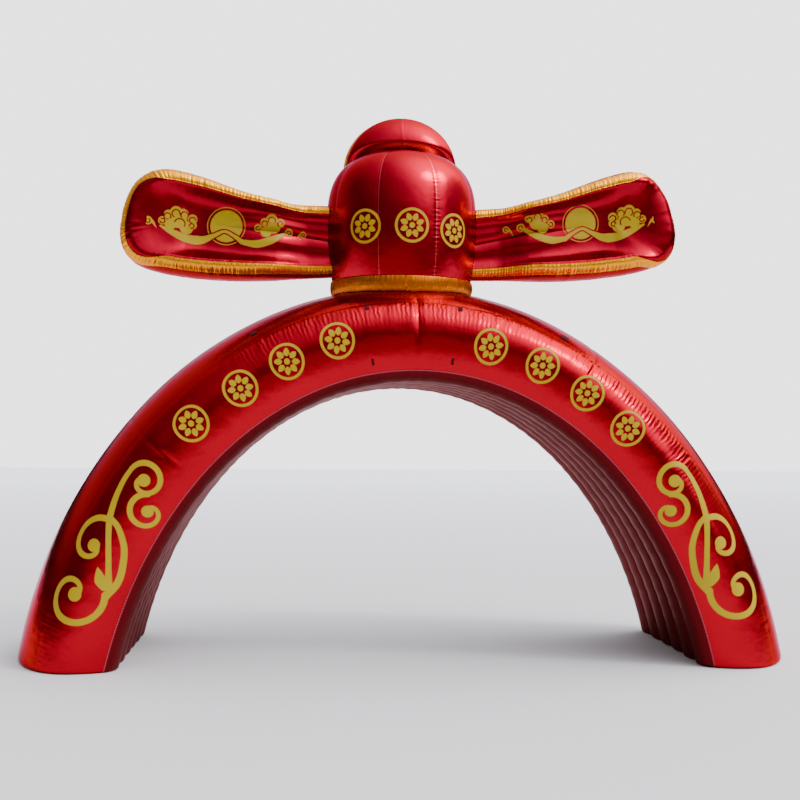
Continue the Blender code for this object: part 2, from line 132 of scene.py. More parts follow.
# Rear crown
CROWN_HALF_WIDTH = 0.443
CROWN_HALF_HEIGHT = 0.415
CROWN_MIDDLE = 3.86
CROWN_X = HAT_X + 0.005
CROWN_ROWS = (
    (0.20, -0.045),
    (0.40, -0.060),
    (0.60, -0.045),
    (0.78, -0.004),
    (0.91, 0.050),
    (0.985, 0.095),
    (1.005, 0.135),
    (0.980, 0.165),
    (1.015, 0.190),
    (1.045, 0.225),
    (1.045, 0.285),
    (1.010, 0.320),
    (0.970, 0.345),
    (0.950, 0.370),
    (0.880, 0.420),
    (0.700, 0.460),
    (0.400, 0.480),
)
CROWN_BAND_FIRST = 8
CROWN_BAND_LAST = 11
CROWN_STEPS = 180
CROWN_TUCK = 0.085  # how far the crown's front is drawn back where it meets the dome
CROWN_TUCK_REACH = 0.11
CROWN_SMOOTHING = 7

# Wings
WING_OUTLINE = (
    (0.30, 3.520),
    (0.80, 3.542),
    (1.20, 3.620),
    (1.60, 3.762),
    (1.88, 3.818),
    (2.055, 3.748),
    (2.165, 3.580),
    (2.212, 3.320),
    (2.165, 3.150),
    (2.020, 3.045),
    (1.70, 2.972),
    (1.30, 2.940),
    (0.80, 2.945),
    (0.30, 2.950),
)
WING_SPINE_START = (0.30, 3.235)
WING_SPINE_END = (1.70, 3.385)
WING_RUN_STEPS = 165
WING_TIP_STEPS = 140
WING_HALF_DEPTH = 0.25
WING_RIM_SHARE = 0.25
WING_RIM_POWER = 0.91
WING_CHANNEL_BULGE = 0.050
WING_CHANNEL_FADE = (0.95, 1.60)
WING_TIP_FILL = 0.35
WING_TIP_REACH = (1.55, 2.0)
WING_END = max(reach for reach, _ in WING_OUTLINE)
WING_ROOT = 1.0  # reach from which the root is drawn in to end on the hat
ROOT_DEPTH = 0.5  # share of its depth that a wing keeps where it meets the hat
ROOT_TAPER = (0.55, 1.15)
RIM_TURN = 150.0
RIM_EASING = 60  # rounds of smoothing where the rim turns into the face
BAND_TURN = (95.0, 50.0)
WING_SIDES = (
    ("left", -1.0, -0.010, -0.055, -36.0, 0.0),
    ("right", 1.0, 0.0, 0.035, -72.0, 0.08),
)
BAND_SLIDE_REACH = (1.85, 2.15)

# Tie tabs: degrees from the crown, share of the outer wall from its rear corner, width and length
TIE_TABS = (
    (-23.1, 0.632, 0.045, 0.055),
    (-7.3, 0.690, 0.030, 0.045),
    (6.1, 0.690, 0.030, 0.045),
    (21.9, 0.640, 0.050, 0.080),
    (-7.8, 0.954, 0.020, 0.050),
    (5.9, 0.954, 0.020, 0.050),
)

# Gold medallions on the tube: degrees from the crown, share of the outer wall
TUBE_MEDALLIONS = (
    (-37.3, 0.820),
    (-28.7, 0.840),
    (-20.8, 0.842),
    (-12.6, 0.834),
    (11.5, 0.855),
    (20.1, 0.848),
    (28.2, 0.847),
    (36.3, 0.847),
)
TUBE_MEDALLION_RADIUS = 0.140
# Gold medallions on the hat: degrees round from the front, height
HAT_MEDALLIONS = ((-33.0, 3.285), (3.0, 3.285), (38.0, 3.270))
HAT_MEDALLION_RADIUS = 0.135

GAP = 0.0004
STRIP = 0.0026
PRINT_GAP = 0.0016
PRINT_THICK = 0.0006


def smooth_step(value, low, high):
    """0 below low, 1 above high and a smooth rise between, or the other way round if high is the lower."""
    t = np.clip((value - low) / (high - low), 0, 1)
    return t * t * (3 - 2 * t)


def signed_power(value, power):
    return np.sign(value) * np.abs(value) ** power


def crease(distance, reach):
    """1 on a seam, falling to 0 at reach, steepest next to the seam."""
    return np.clip(1 - np.abs(distance) / reach, 0, 1) ** 2


def unit(vectors):
    return vectors / np.maximum(np.linalg.norm(vectors, axis=-1, keepdims=True), 1e-9)


def puckers(run, off, phase):
    """Ridges square to a seam: sines along it with wandering phase, each fading with distance off."""
    height = np.zeros(np.broadcast(run, off).shape)
    for order, (length, size, reach) in enumerate(PUCKER_WAVES):
        wander = 1.7 * np.sin(run * 7.3 + phase + order) + 1.1 * np.sin(run * 17.9 + 2.3 * phase)
        swell = 0.65 + 0.35 * np.sin(run * (4.1 + order) + 1.7 * phase + 2.0 * order)
        ridge = 1 - 2 * np.abs(np.sin(np.pi * run / length + wander)) ** 0.8
        own_reach = reach * (0.85 + 0.35 * np.sin(run * (21.0 + 5 * order) + phase))
        height = height + size * swell * ridge * np.exp(-((off / own_reach) ** 2))
    return height


# Tube


def tube_thickness(angle):
    """Thickness at an angle: a parabola through crown, shoulder and foot, a little more on the left."""
    share = (angle / FOOT_ANGLE) ** 2
    middle = THICK_SHOULDER - 0.5 * (THICK_CROWN + THICK_FOOT)
    even = THICK_CROWN + (THICK_FOOT - THICK_CROWN) * share + 4 * middle * share * (1 - share)
    return even - LEFT_FULLNESS * np.sin(np.pi * np.degrees(angle) / LEFT_FULLNESS_SPAN)


def cross_seam_draw(angle, share):
    """How far the cross seams draw the outer wall in, fading out before its corners."""
    degrees = np.degrees(angle)
    wall = np.clip(share - 1, 0, 1)
    held = smooth_step(wall, 0.0, 0.1) * smooth_step(wall, 0.94, 0.82)
    return held * sum(draw * crease(degrees - place, reach) for place, draw, reach in CROSS_SEAMS)


def wall_section(angle, share):
    """Offset and depth of the outer wall: an ellipse above the widest place, a squarer curve below."""
    thick = tube_thickness(angle)
    along_leg = (angle / FOOT_ANGLE) ** 2
    widest = thick * (WIDEST_SHARE_CROWN + (WIDEST_SHARE_FOOT - WIDEST_SHARE_CROWN) * along_leg)
    side = 2 * np.abs(share - 0.5)
    seam, widest_side = 1 / PANELS, 1 / PANELS + (1 - 1 / PANELS) * WIDEST_PLACE
    turn = np.radians(np.interp(side, (0, seam, widest_side, 1), (0, SEAM_TURN, 90, 90)))
    below = np.clip((side - widest_side) / (1 - widest_side), 0, 1)
    corner_share = (1 - (FACE_HALF_DEPTH / WALL_HALF_DEPTH) ** LOWER_FULLNESS) ** (1 / LOWER_FULLNESS)
    narrowing = (1 - (corner_share * below) ** LOWER_FULLNESS) ** (1 / LOWER_FULLNESS)
    offset = widest + (thick - widest) * np.cos(turn) - (widest - CORNER_RISE) * below
    return offset, WALL_HALF_DEPTH * np.sin(turn) * narrowing * np.sign(0.5 - share)


def face_section(share):
    """Offset and depth of the inner face, whose channels hang a little below the inner curve."""
    channel = np.sin(np.pi * ((share * CHANNELS) % 1.0)) ** CHANNEL_FULLNESS
    from_edge = np.minimum(share, 1 - share) * CHANNELS
    seam_level = CHANNEL_BULGE * (1 - CHANNEL_BELOW)
    level = seam_level + (CORNER_RISE - seam_level) * np.clip(1 - from_edge, 0, 1)
    offset = level + (seam_level - CHANNEL_BULGE - level) * channel
    return offset, FACE_HALF_DEPTH * (2 * share - 1)


def tube_base(angle, share):
    """Points of the tube: share below 1 across the inner face, from 1 to 2 over the outer wall."""
    face_offset, face_depth = face_section(np.clip(share, 0, 1))
    wall_offset, wall_depth = wall_section(angle, np.clip(share - 1, 0, 1))
    on_face = share < 1
    offset = np.where(on_face, face_offset, wall_offset)
    depth = np.where(on_face, face_depth, wall_depth)
    seam = (share - 1) * PANELS
    inside = (seam > 0.5) & (seam < PANELS - 0.5)
    seam_draw = PANEL_SEAM_DRAW * crease(np.abs(seam - np.round(seam)), PANEL_SEAM_REACH) * inside
    thick = tube_thickness(angle)
    middle = SECTION_MIDDLE * thick
    from_middle = np.hypot(offset - middle, depth)
    drawn = 1 - cross_seam_draw(angle, share) / (0.5 * thick) - seam_draw / from_middle
    offset = middle + (offset - middle) * drawn
    depth = depth * drawn
    x = INNER_HALF_WIDTH * np.sin(angle)
    z = INNER_HALF_HEIGHT * np.cos(angle) - CENTRE_DROP
    run_x = INNER_HALF_WIDTH * np.cos(angle)
    run_z = -INNER_HALF_HEIGHT * np.sin(angle)
    length = np.hypot(run_x, run_z)
    return np.stack([x - run_z / length * offset, depth, z + run_x / length * offset], axis=-1)


def tube_normal(angle, share):
    """Outward unit normals from small steps along the tube and round its section."""
    step = 0.002
    along = tube_base(angle + step, share) - tube_base(angle - step, share)
    low = np.where(share >= 1, np.maximum(share - step, 1.0), np.maximum(share - step, 0.0))
    high = np.where(share >= 1, np.minimum(share + step, 2.0), np.minimum(share + step, 0.99999))
    around = tube_base(angle, high) - tube_base(angle, low)
    return unit(np.cross(along, around))


def tube_run(angle):
    """Length along the tube from the crown, on the line of the front seam."""
    grid = np.radians(np.linspace(-90, 90, 721))
    line = tube_base(grid, np.full(grid.shape, 1.7))
    length = np.concatenate([[0], np.cumsum(np.linalg.norm(np.diff(line, axis=0), axis=1))])
    return np.interp(angle, grid, length - length[360])


def tube_relief(angle, share):
    """Height of the skin over its smooth shape: puckers at each seam and soft dents between them."""
    run = tube_run(angle)
    degrees = np.degrees(angle)
    table = np.array(PUCKER_STRENGTH)
    front = np.interp(degrees, table[:, 0], table[:, 1])
    rear = np.interp(degrees, table[:, 0], table[:, 2])
    wall = np.clip(share - 1, 0, 1)
    height = np.zeros(np.broadcast(angle, share).shape)
    for place, strength, sign, phase in ((2 / 3, front, 1, 0.4), (1 / 3, rear, -1, 2.9)):
        off = (wall - place) * sign
        metres = np.where(off > 0, off * FRONT_METRES, -off * TOP_METRES)
        own_side = np.where(off > 0, 1.0, TOP_SIDE_STRENGTH) * (share > 1)
        height = height + strength * puckers(run + 0.25 * metres, metres, phase) * own_side
    for corner, phase in ((0.0, 5.1), (1.0, 7.7)):
        metres = np.abs(wall - corner) * FRONT_METRES
        height = height + 0.12 * puckers(run, 2.0 * metres, phase) * (share > 1)
    for place, draw, _ in CROSS_SEAMS:
        metres = (degrees - place) * 0.05
        across = (share - 1) * 2.2
        height = height + 60 * draw * puckers(across, 2.2 * metres, place) * (wall > 0.1) * (wall < 0.78)
    dents = np.sin(run * 3.1 + 4 * share) * np.sin(run * 1.7 - 3 * share + 1.0)
    height = height + 0.0025 * dents * (share > 1)
    rib = np.sin(np.pi * ((share * CHANNELS) % 1.0)) * (share < 1)
    height = height + 0.0016 * rib * np.sin(run * 38 + 1.5 * np.sin(run * 9) + 5 * np.floor(share * CHANNELS))
    on_leg = smooth_step(np.abs(degrees), 71.0, 66.0)
    from_hat = np.abs(INNER_HALF_WIDTH * 1.3 * angle - HAT_X) + 0 * share
    under_hat = (1 - smooth_step(from_hat, 0.55, 0.75)) * (1 - smooth_step(np.abs(share - 1.5), 0.09, 0.13))
    return height * on_leg * (1 - under_hat)


def tube_skin(angle, share, lift=0.0):
    relief = tube_relief(angle, share)[..., None]
    return tube_base(angle, share) + tube_normal(angle, share) * (relief + lift)


def tube_shares():
    inner = np.arange(CHANNELS)[:, None] + np.array(CHANNEL_PLACES)
    outer = np.arange(PANELS)[:, None] + np.array(PANEL_PLACES)
    return np.concatenate([inner.ravel() / CHANNELS, 1 + outer.ravel() / PANELS])


def tube_rings():
    """Angles between the two feet, closer together where the skin is strongly puckered."""
    degrees = np.linspace(-LEVEL_ANGLE, LEVEL_ANGLE, 2000)
    run = tube_run(np.radians(degrees))
    busy = (degrees[:-1] > BUSY_SPAN[0]) & (degrees[:-1] < BUSY_SPAN[1])
    count = np.concatenate([[0], np.cumsum(np.diff(run) / np.where(busy, FINE_STEP, COARSE_STEP))])
    return np.radians(np.interp(np.arange(int(count[-1]) + 1) / int(count[-1]) * count[-1], count, degrees))


def foot_angles(side, share, height):
    """Angle at which each lengthwise line of the tube comes down to a height, by halving."""
    low = np.full(share.shape, np.radians(FOOT_SEARCH[0]))
    high = np.full(share.shape, np.radians(FOOT_SEARCH[1]))
    for _ in range(40):
        middle = 0.5 * (low + high)
        above = tube_base(side * middle, share)[..., 2] > height
        low = np.where(above, middle, low)
        high = np.where(above, high, middle)
    return 0.5 * (low + high)


def foot_rings(side, share):
    """Rings of one leg from its level, rounded foot edge up to the last ring of the tube."""
    turns = np.linspace(0, np.pi / 2, 7)
    hem = [foot_angles(side, share, height) for height in FOOT_ROUNDING * (1 - np.cos(turns))]
    last = np.radians(LEVEL_ANGLE)
    blend = [last + (hem[-1] - last) * part for part in np.linspace(1, 0, 34)[1:-1]]
    rings = [tube_skin(side * angles, share) for angles in hem + blend]
    centre = rings[0][:, :2].mean(axis=0)
    for ring, turn in zip(rings, turns):
        away = ring[:, :2] - centre
        inset = FOOT_ROUNDING * (1 - np.sin(turn))
        ring[:, :2] -= away * inset / np.linalg.norm(away, axis=1, keepdims=True)
    rings[0][:, 2] = 0.0
    return rings, [side * angles for angles in hem + blend]


# Meshes


def grid_faces(rows, columns, closed):
    """Quads over a grid of points."""
    row = np.arange(rows - 1)[:, None]
    column = np.arange(columns if closed else columns - 1)[None, :]
    after = (column + 1) % columns
    here, above = row * columns, (row + 1) * columns
    quads = np.stack([here + column, here + after, above + after, above + column], axis=-1)
    return quads.reshape(-1, 4)


def fan_faces(ring, centre):
    """Triangles from a closed ring of point numbers to a centre."""
    after = np.roll(ring, -1)
    return np.stack([ring, after, np.full(len(ring), centre), np.full(len(ring), centre)], axis=-1)


def volume_sign(points, faces):
    a, b, c, d = (points[faces[:, k]] for k in range(4))
    return np.sign((np.cross(a, b) * c).sum() + (np.cross(a, c) * d).sum())


def make_mesh(name, points, faces, materials, attributes=(), uv=None, slots=None):
    """A piece from points and quads; a quad whose last two corners agree becomes a triangle."""
    if volume_sign(points, faces) < 0:
        triangle = faces[:, 2] == faces[:, 3]
        turned = faces[:, ::-1].copy()
        turned[triangle] = faces[triangle][:, [1, 0, 2, 3]]
        faces = turned
    triangle = faces[:, 2] == faces[:, 3]
    sizes = np.where(triangle, 3, 4)
    keep = np.ones(faces.shape, bool)
    keep[triangle, 3] = False
    corners = faces[keep]
    mesh = bpy.data.meshes.new(name)
    mesh.vertices.add(len(points))
    mesh.vertices.foreach_set("co", points.astype(np.float32).ravel())
    mesh.loops.add(len(corners))
    mesh.loops.foreach_set("vertex_index", corners.astype(np.int32))
    mesh.polygons.add(len(faces))
    starts = np.concatenate([[0], np.cumsum(sizes)[:-1]])
    mesh.polygons.foreach_set("loop_start", starts.astype(np.int32))
    mesh.update(calc_edges=True)
    for key, values in attributes:
        layer = mesh.attributes.new(key, "FLOAT", "POINT")
        layer.data.foreach_set("value", np.asarray(values, np.float32).ravel())
    if uv is not None:
        layer = mesh.uv_layers.new(name="cloth")
        layer.data.foreach_set("uv", uv.astype(np.float32)[corners].ravel())
    for item in materials:
        mesh.materials.append(item)
    if slots is not None:
        mesh.polygons.foreach_set("material_index", slots.astype(np.int32))
    mesh.shade_smooth()
    mesh.validate()
    made = bpy.data.objects.new(name, mesh)
    bpy.context.scene.collection.objects.link(made)
    return made


def dress(piece, node):
    """The piece rides with the arch and stands for its solid, which it hides."""
    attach(piece, "root")
    if node:
        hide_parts(node)
    return piece


def shell(points, normals, faces, gap, thick):
    """A thin closed shell over open faces: two layers along the normals and a wall round every rim."""
    count = len(points)
    edges = np.concatenate([faces[:, [k, (k + 1) % 4]] for k in range(4)])
    edges = edges[edges[:, 0] != edges[:, 1]]
    key = edges[:, 0].astype(np.int64) * count + edges[:, 1]
    back = edges[:, 1].astype(np.int64) * count + edges[:, 0]
    rim = edges[~np.isin(key, back)]
    walls = np.stack([rim[:, 0], rim[:, 1], rim[:, 1] + count, rim[:, 0] + count], axis=-1)
    under = faces[:, ::-1].copy()
    triangle = faces[:, 2] == faces[:, 3]
    under[triangle] = faces[triangle][:, [1, 0, 2, 3]]
    places = np.concatenate([points + normals * gap, points + normals * (gap + thick)])
    return places, np.concatenate([under, faces + count, walls[:, ::-1]])


# Materials


def new_material(name, colour, metallic, roughness, coat=0.0, coat_roughness=0.1):
    made = bpy.data.materials.new(name)
    made.use_nodes = True
    tree = made.node_tree
    shader = tree.nodes["Principled BSDF"]
    shader.inputs["Base Color"].default_value = (*colour, 1.0)
    shader.inputs["Metallic"].default_value = metallic
    shader.inputs["Roughness"].default_value = roughness
    shader.inputs["Coat Weight"].default_value = coat
    shader.inputs["Coat Roughness"].default_value = coat_roughness
    return made, tree, shader


def node(tree, kind, inputs=(), **settings):
    made = tree.nodes.new(kind)
    for key, value in settings.items():
        setattr(made, key, value)
    for key, value in inputs:
        if isinstance(value, bpy.types.NodeSocket):
            tree.links.new(value, made.inputs[key])
        else:
            made.inputs[key].default_value = value
    return made


def ramp(tree, factor, stops):
    """A colour ramp through (place, colour) stops."""
    made = node(tree, "ShaderNodeValToRGB", [("Fac", factor)])
    band = made.color_ramp
    while len(band.elements) < len(stops):
        band.elements.new(0.5)
    for element, (place, colour) in zip(band.elements, stops):
        element.position = place
        element.color = (*colour, 1.0) if len(colour) == 3 else colour
    return made.outputs["Color"]


def grey(value):
    return (value, value, value)


def noise(tree, vector, scale, detail=2.0):
    made = node(tree, "ShaderNodeTexNoise", [("Vector", vector), ("Scale", scale), ("Detail", detail)])
    return made.outputs["Fac"]


def maths(tree, operation, first, second=0.5):
    made = node(tree, "ShaderNodeMath", [(0, first), (1, second)], operation=operation)
    return made.outputs[0]


def stretched(tree, vector, scale):
    return node(tree, "ShaderNodeMapping", [("Vector", vector), ("Scale", scale)]).outputs[0]


def coordinates(tree):
    made = node(tree, "ShaderNodeTexCoord")
    return made.outputs["Object"], made.outputs["UV"]


def attribute(tree, name):
    return node(tree, "ShaderNodeAttribute", attribute_name=name).outputs["Fac"]


def mixed(tree, factor, first, second):
    made = node(tree, "ShaderNodeMix", data_type="RGBA")
    for socket, value in ((0, factor), (6, first), (7, second)):
        if isinstance(value, bpy.types.NodeSocket):
            tree.links.new(value, made.inputs[socket])
        else:
            made.inputs[socket].default_value = (*value, 1.0)
    return made.outputs[2]


def bumps(tree, shader, heights):
    """Chains bump nodes, each with its height and its depth in metres."""
    normal = None
    for height, depth in heights:
        inputs = [("Height", height), ("Strength", 1.0), ("Distance", depth)]
        if normal is not None:
            inputs.append(("Normal", normal))
        normal = node(tree, "ShaderNodeBump", inputs).outputs["Normal"]
    tree.links.new(normal, shader.inputs["Normal"])


# A wave texture of scale 1 repeats every 0.314 m
WAVE_PERIOD = np.pi / 10
GATHER_PITCH = 0.034
GATHER_REACH = (0.16, 0.10)  # how far fine gathers run from the front seam, to the front and the top


def weave(tree, uv, pitch):
    """Height of a plain weave: warp waves where weft waves are low, and the other way round."""
    scale = WAVE_PERIOD / pitch
    warp = node(tree, "ShaderNodeTexWave", [("Vector", uv), ("Scale", scale)], bands_direction="X")
    weft = node(tree, "ShaderNodeTexWave", [("Vector", uv), ("Scale", scale)], bands_direction="Y")
    return maths(tree, "MULTIPLY", warp.outputs["Fac"], weft.outputs["Fac"])


def remap(tree, value, low, high, at_low, at_high):
    limits = (("From Min", low), ("From Max", high), ("To Min", at_low), ("To Max", at_high))
    return node(tree, "ShaderNodeMapRange", (("Value", value),) + limits).outputs[0]


def film(name, dark, light, edge, metallic, roughness, streak_depth, streak_reach, stitch_and_highlight_colour):
    """Metal-coated cloth: mottled colour, fine weave, puckers by the seams and a line on them, darker where
    it is a sewn line and lighter where it is a painted highlight of the seam catching the light.
    """
    made, tree, shader = new_material(name, light, metallic, roughness[0], 0.04, 0.25)
    shader.inputs["Specular Tint"].default_value = (*edge, 1.0)
    place, uv = coordinates(tree)
    colour = mixed(tree, noise(tree, place, 1.7, 3.0), dark, light)
    distance = attribute(tree, "seam_distance")
    line = remap(tree, distance, 0.0015, 0.005, 1.0, 0.0)
    stitches = node(tree, "ShaderNodeTexWave", [("Vector", uv), ("Scale", 14.0)], bands_direction="X")
    thread = ramp(tree, stitches.outputs["Fac"], ((0.2, grey(0.45)), (0.6, grey(1.0))))
    seam_line_mask = maths(tree, "MULTIPLY", line, thread)
    # The seam line's colour: a darker stitched line on most films, a painted highlight on the rib and hat
    # films, whose lines are lighter than the cloth.
    tree.links.new(mixed(tree, seam_line_mask, colour, stitch_and_highlight_colour), shader.inputs["Base Color"])
    rough = remap(tree, noise(tree, place, 5.0, 4.0), 0.3, 0.7, *roughness)
    tree.links.new(rough, shader.inputs["Roughness"])
    streaks = noise(tree, stretched(tree, uv, (42.0, 2.5, 1.0)), 1.0, 3.0)
    near = remap(tree, distance, 0.005, streak_reach, 1.0, 0.03)
    scale = WAVE_PERIOD / GATHER_PITCH
    wave = [("Vector", uv), ("Scale", scale), ("Distortion", 3.0), ("Detail Scale", 1.6)]
    gathers = node(tree, "ShaderNodeTexWave", wave, bands_direction="X").outputs["Fac"]
    uneven = remap(tree, noise(tree, stretched(tree, uv, (14.0, 4.0, 1.0)), 1.0), 0.35, 0.65, 0.15, 1.0)
    gathered = maths(tree, "MULTIPLY", attribute(tree, "gather"), uneven)
    bumps(
        tree,
        shader,
        (
            (noise(tree, place, 6.5, 2.0), 0.004),
            (maths(tree, "MULTIPLY", streaks, near), streak_depth),
            (maths(tree, "MULTIPLY", gathers, gathered), 0.0042),
            (weave(tree, uv, 0.003), 0.00008),
        ),
    )
    return made


def print_ink():
    """Screen-printed gold ink: slightly uneven, with a warmer, thinner edge."""
    made, tree, shader = new_material("gold_ink", (0.39, 0.28, 0.0), 0.0, 0.42, 0.0, 0.3)
    shader.inputs["Specular IOR Level"].default_value = 0.25
    place, _ = coordinates(tree)
    body = mixed(tree, noise(tree, place, 7.0, 4.0), (0.36, 0.255, 0.0), (0.43, 0.315, 0.0))
    inside = attribute(tree, "inside")
    edge = remap(tree, inside, 0.0, 0.007, 1.0, 0.0)
    tree.links.new(mixed(tree, edge, body, (0.42, 0.12, 0.0)), shader.inputs["Base Color"])
    bumps(tree, shader, ((noise(tree, place, 180.0, 2.0), 0.0003),))
    return made


def webbing():
    """Dark woven tape."""
    made, tree, shader = new_material("tab_webbing", (0.05, 0.004, 0.006), 0.0, 0.9)
    shader.inputs["Specular IOR Level"].default_value = 0.15
    _, uv = coordinates(tree)
    thread = weave(tree, uv, 0.004)
    colour = mixed(tree, thread, (0.02, 0.002, 0.003), (0.09, 0.008, 0.010))
    tree.links.new(colour, shader.inputs["Base Color"])
    bumps(tree, shader, ((thread, 0.0006),))
    return made


RED_FILM = film(
    "red_film",
    dark=(0.35, 0.0, 0.010),
    light=(0.45, 0.0, 0.014),
    edge=(0.85, 0.24, 0.36),
    metallic=0.97,
    roughness=(0.15, 0.24),
    streak_depth=0.0015,
    streak_reach=0.10,
    stitch_and_highlight_colour=(0.26, 0.0, 0.003),
)
RIB_FILM = film(
    "rib_film",
    dark=(0.085, 0.001, 0.004),
    light=(0.135, 0.003, 0.007),
    edge=(0.5, 0.08, 0.09),
    metallic=0.75,
    roughness=(0.30, 0.42),
    streak_depth=0.006,
    streak_reach=0.06,
    # Painted highlight: the rib seams' lines are lighter than the cloth, standing for the seams catching the
    # light.
    stitch_and_highlight_colour=(0.40, 0.08, 0.10),
)
HAT_FILM = film(
    "hat_film",
    dark=(0.34, 0.0, 0.012),
    light=(0.43, 0.0, 0.018),
    edge=(0.85, 0.25, 0.42),
    metallic=0.97,
    roughness=(0.17, 0.27),
    streak_depth=0.002,
    streak_reach=0.04,
    # Painted highlight: the hat's seam lines are lighter than the cloth, standing for the seams catching the
    # light; the crown takes them too.
    stitch_and_highlight_colour=(0.7, 0.08, 0.09),
)
WING_FILM = film(
    "wing_film",
    dark=(0.25, 0.0, 0.010),
    light=(0.33, 0.0, 0.015),
    edge=(0.75, 0.18, 0.28),
    metallic=0.97,
    roughness=(0.20, 0.30),
    streak_depth=0.002,
    streak_reach=0.06,
    stitch_and_highlight_colour=(0.20, 0.0, 0.003),
)
GOLD_FILM = film(
    "gold_film",
    dark=(0.78, 0.27, 0.0),
    light=(0.94, 0.41, 0.0),
    edge=(0.95, 0.5, 0.1),
    metallic=0.85,
    roughness=(0.24, 0.36),
    streak_depth=0.014,
    streak_reach=0.20,
    stitch_and_highlight_colour=(0.4, 0.1, 0.0),
)
DEEP_GOLD_FILM = film(
    "deep_gold_film",
    dark=(0.38, 0.06, 0.0),
    light=(0.64, 0.18, 0.0),
    edge=(0.8, 0.4, 0.1),
    metallic=0.85,
    roughness=(0.22, 0.34),
    streak_depth=0.012,
    streak_reach=0.20,
    stitch_and_highlight_colour=(0.25, 0.05, 0.0),
)
GOLD_INK = print_ink()
WEBBING = webbing()


# Pieces


def make_tube():
    """The tube: rings at angles from the crown, each a section of channels and three panels."""
    share = tube_shares()
    angles = tube_rings()
    left, left_angles = foot_rings(-1, share)
    right, right_angles = foot_rings(1, share)
    between = np.repeat(angles[1:-1, None], len(share), axis=1)
    middle = tube_skin(between, np.tile(share, (len(angles) - 2, 1)))
    grid = np.concatenate([np.array(left), middle, np.array(right[::-1])])
    all_angles = np.concatenate([np.array(left_angles), between, np.array(right_angles[::-1])])
    rows, columns = grid.shape[:2]
    wall = np.clip(share - 1, 0, 1) * PANELS
    on_wall = share >= 1
    seam = np.abs(wall - np.round(wall)) / PANELS
    rib = share * CHANNELS
    # On the inner face this distance lays the rib film's lighter seam lines, which are painted highlights.
    rib_distance = np.abs(rib - np.round(rib)) / CHANNELS * 2 * FACE_HALF_DEPTH
    wall_metres = np.where((wall > 1) & (wall < 2), TOP_METRES, FRONT_METRES)
    distance = np.where(on_wall, seam * wall_metres, rib_distance)
    around = np.where(on_wall, 1.75 + wall * 0.6, share * 2 * FACE_HALF_DEPTH)
    run = tube_run(all_angles)
    cross = np.min([np.abs(np.degrees(all_angles) - place) * 0.05 for place, _, _ in CROSS_SEAMS], axis=0)
    outer = np.clip(share - 1, 0, 1)
    cross = np.where((outer > 0.08) & (outer < 0.92), cross, 0.2)
    distances = np.minimum(np.tile(distance, (rows, 1)), cross)
    table = np.array(PUCKER_STRENGTH)
    front = np.interp(np.degrees(all_angles), table[:, 0], table[:, 1])
    off = np.clip(share - 1, 0, 1) - 2 / PANELS
    reach = np.where(off > 0, GATHER_REACH[0] / FRONT_METRES, GATHER_REACH[1] / TOP_METRES)
    gather = front * np.exp(-((off / reach) ** 2)) * np.where(off > 0, 1.0, TOP_SIDE_STRENGTH) * on_wall
    at_corner = on_wall & (np.abs(wall - 1.5) > 1.35)
    distances = np.where(at_corner, np.maximum(distances, 0.2), distances)
    faces = grid_faces(rows, columns, closed=True)
    bottoms = [np.arange(columns), (rows - 1) * columns + np.arange(columns)[::-1]]
    points = grid.reshape(-1, 3)
    centres = np.array([points[ring].mean(axis=0) for ring in bottoms])
    caps = np.concatenate([fan_faces(ring[::-1], rows * columns + k) for k, ring in enumerate(bottoms)])
    uv = np.stack([run, np.tile(around, (rows, 1))], axis=-1).reshape(-1, 2)
    slots = np.tile(~on_wall, rows - 1).astype(int)
    return make_mesh(
        "tube_skin",
        np.concatenate([points, centres]),
        np.concatenate([faces, caps]),
        (RED_FILM, RIB_FILM),
        (
            ("seam_distance", np.concatenate([distances.ravel(), [0.2, 0.2]])),
            ("gather", np.concatenate([gather.ravel(), [0, 0]])),
        ),
        np.concatenate([uv, [[0, 0], [0, 0]]]),
        np.concatenate([slots, np.zeros(len(caps), int)]),
    )


def tube_top(x, y):
    """Height of the tube's skin over points near the crown, by steps that close in on x and y."""
    angle = np.arcsin(np.clip(x / 3.0, -1, 1))
    share = np.full(x.shape, 1.5)
    for _ in range(60):
        here = tube_base(angle, share)
        angle = angle + 0.8 * (x - here[..., 0]) / 3.0
        share = np.clip(share + 0.5 * (here[..., 1] - y) / 5.2, 1.05, 1.95)
    return tube_base(angle, share)[..., 2]


def body_radius(height):
    """Radius of the hat's body: a neck that widens, then a squared dome."""
    share = np.clip((BODY_WIDEST - height) / (BODY_WIDEST - BAND_TOP), 0, 1)
    rise = np.clip((height - BODY_WIDEST) / BODY_DOME_RISE, 0, 1)
    neck = BODY_RADIUS - (BODY_RADIUS - BODY_FOOT_RADIUS) * share**2.2
    dome = BODY_RADIUS * (1 - rise**DOME_SQUARENESS) ** (1 / DOME_SQUARENESS)
    return np.where(height < BODY_WIDEST, neck, dome)


def gore_seam(turn):
    """Share of a gore between a turn and the nearest seam, from 0 on the seam to 0.5."""
    gore = (turn - np.pi / GORES) / (2 * np.pi) * GORES
    return np.abs(gore - np.round(gore))


def body_points(turn, height, lift=0.0):
    """The hat's body at turns from the front and heights, drawn in and puckered at its seams."""
    radius = body_radius(height)
    seam = gore_seam(turn)
    above = smooth_step(height, BAND_TOP, BODY_WIDEST)
    metres = seam * 2 * np.pi * radius / GORES
    draw = GORE_DRAW * above * (1 - 2 * seam) ** 2 + 0.004 * crease(metres, 0.02)
    index = np.round((turn - np.pi / GORES) / (2 * np.pi) * GORES)
    relief = 0.06 * puckers(height * 1.15, 2.2 * metres, 1.3 + 2.1 * (index % 5)) * above
    relief = relief + 0.0012 * np.sin(7 * turn + 9 * height) * above
    radius = np.maximum(radius - draw + relief + lift, 0)
    x = HAT_X + radius * np.sin(turn)
    return np.stack([x, -radius * np.cos(turn), np.broadcast_to(height, x.shape)], axis=-1)


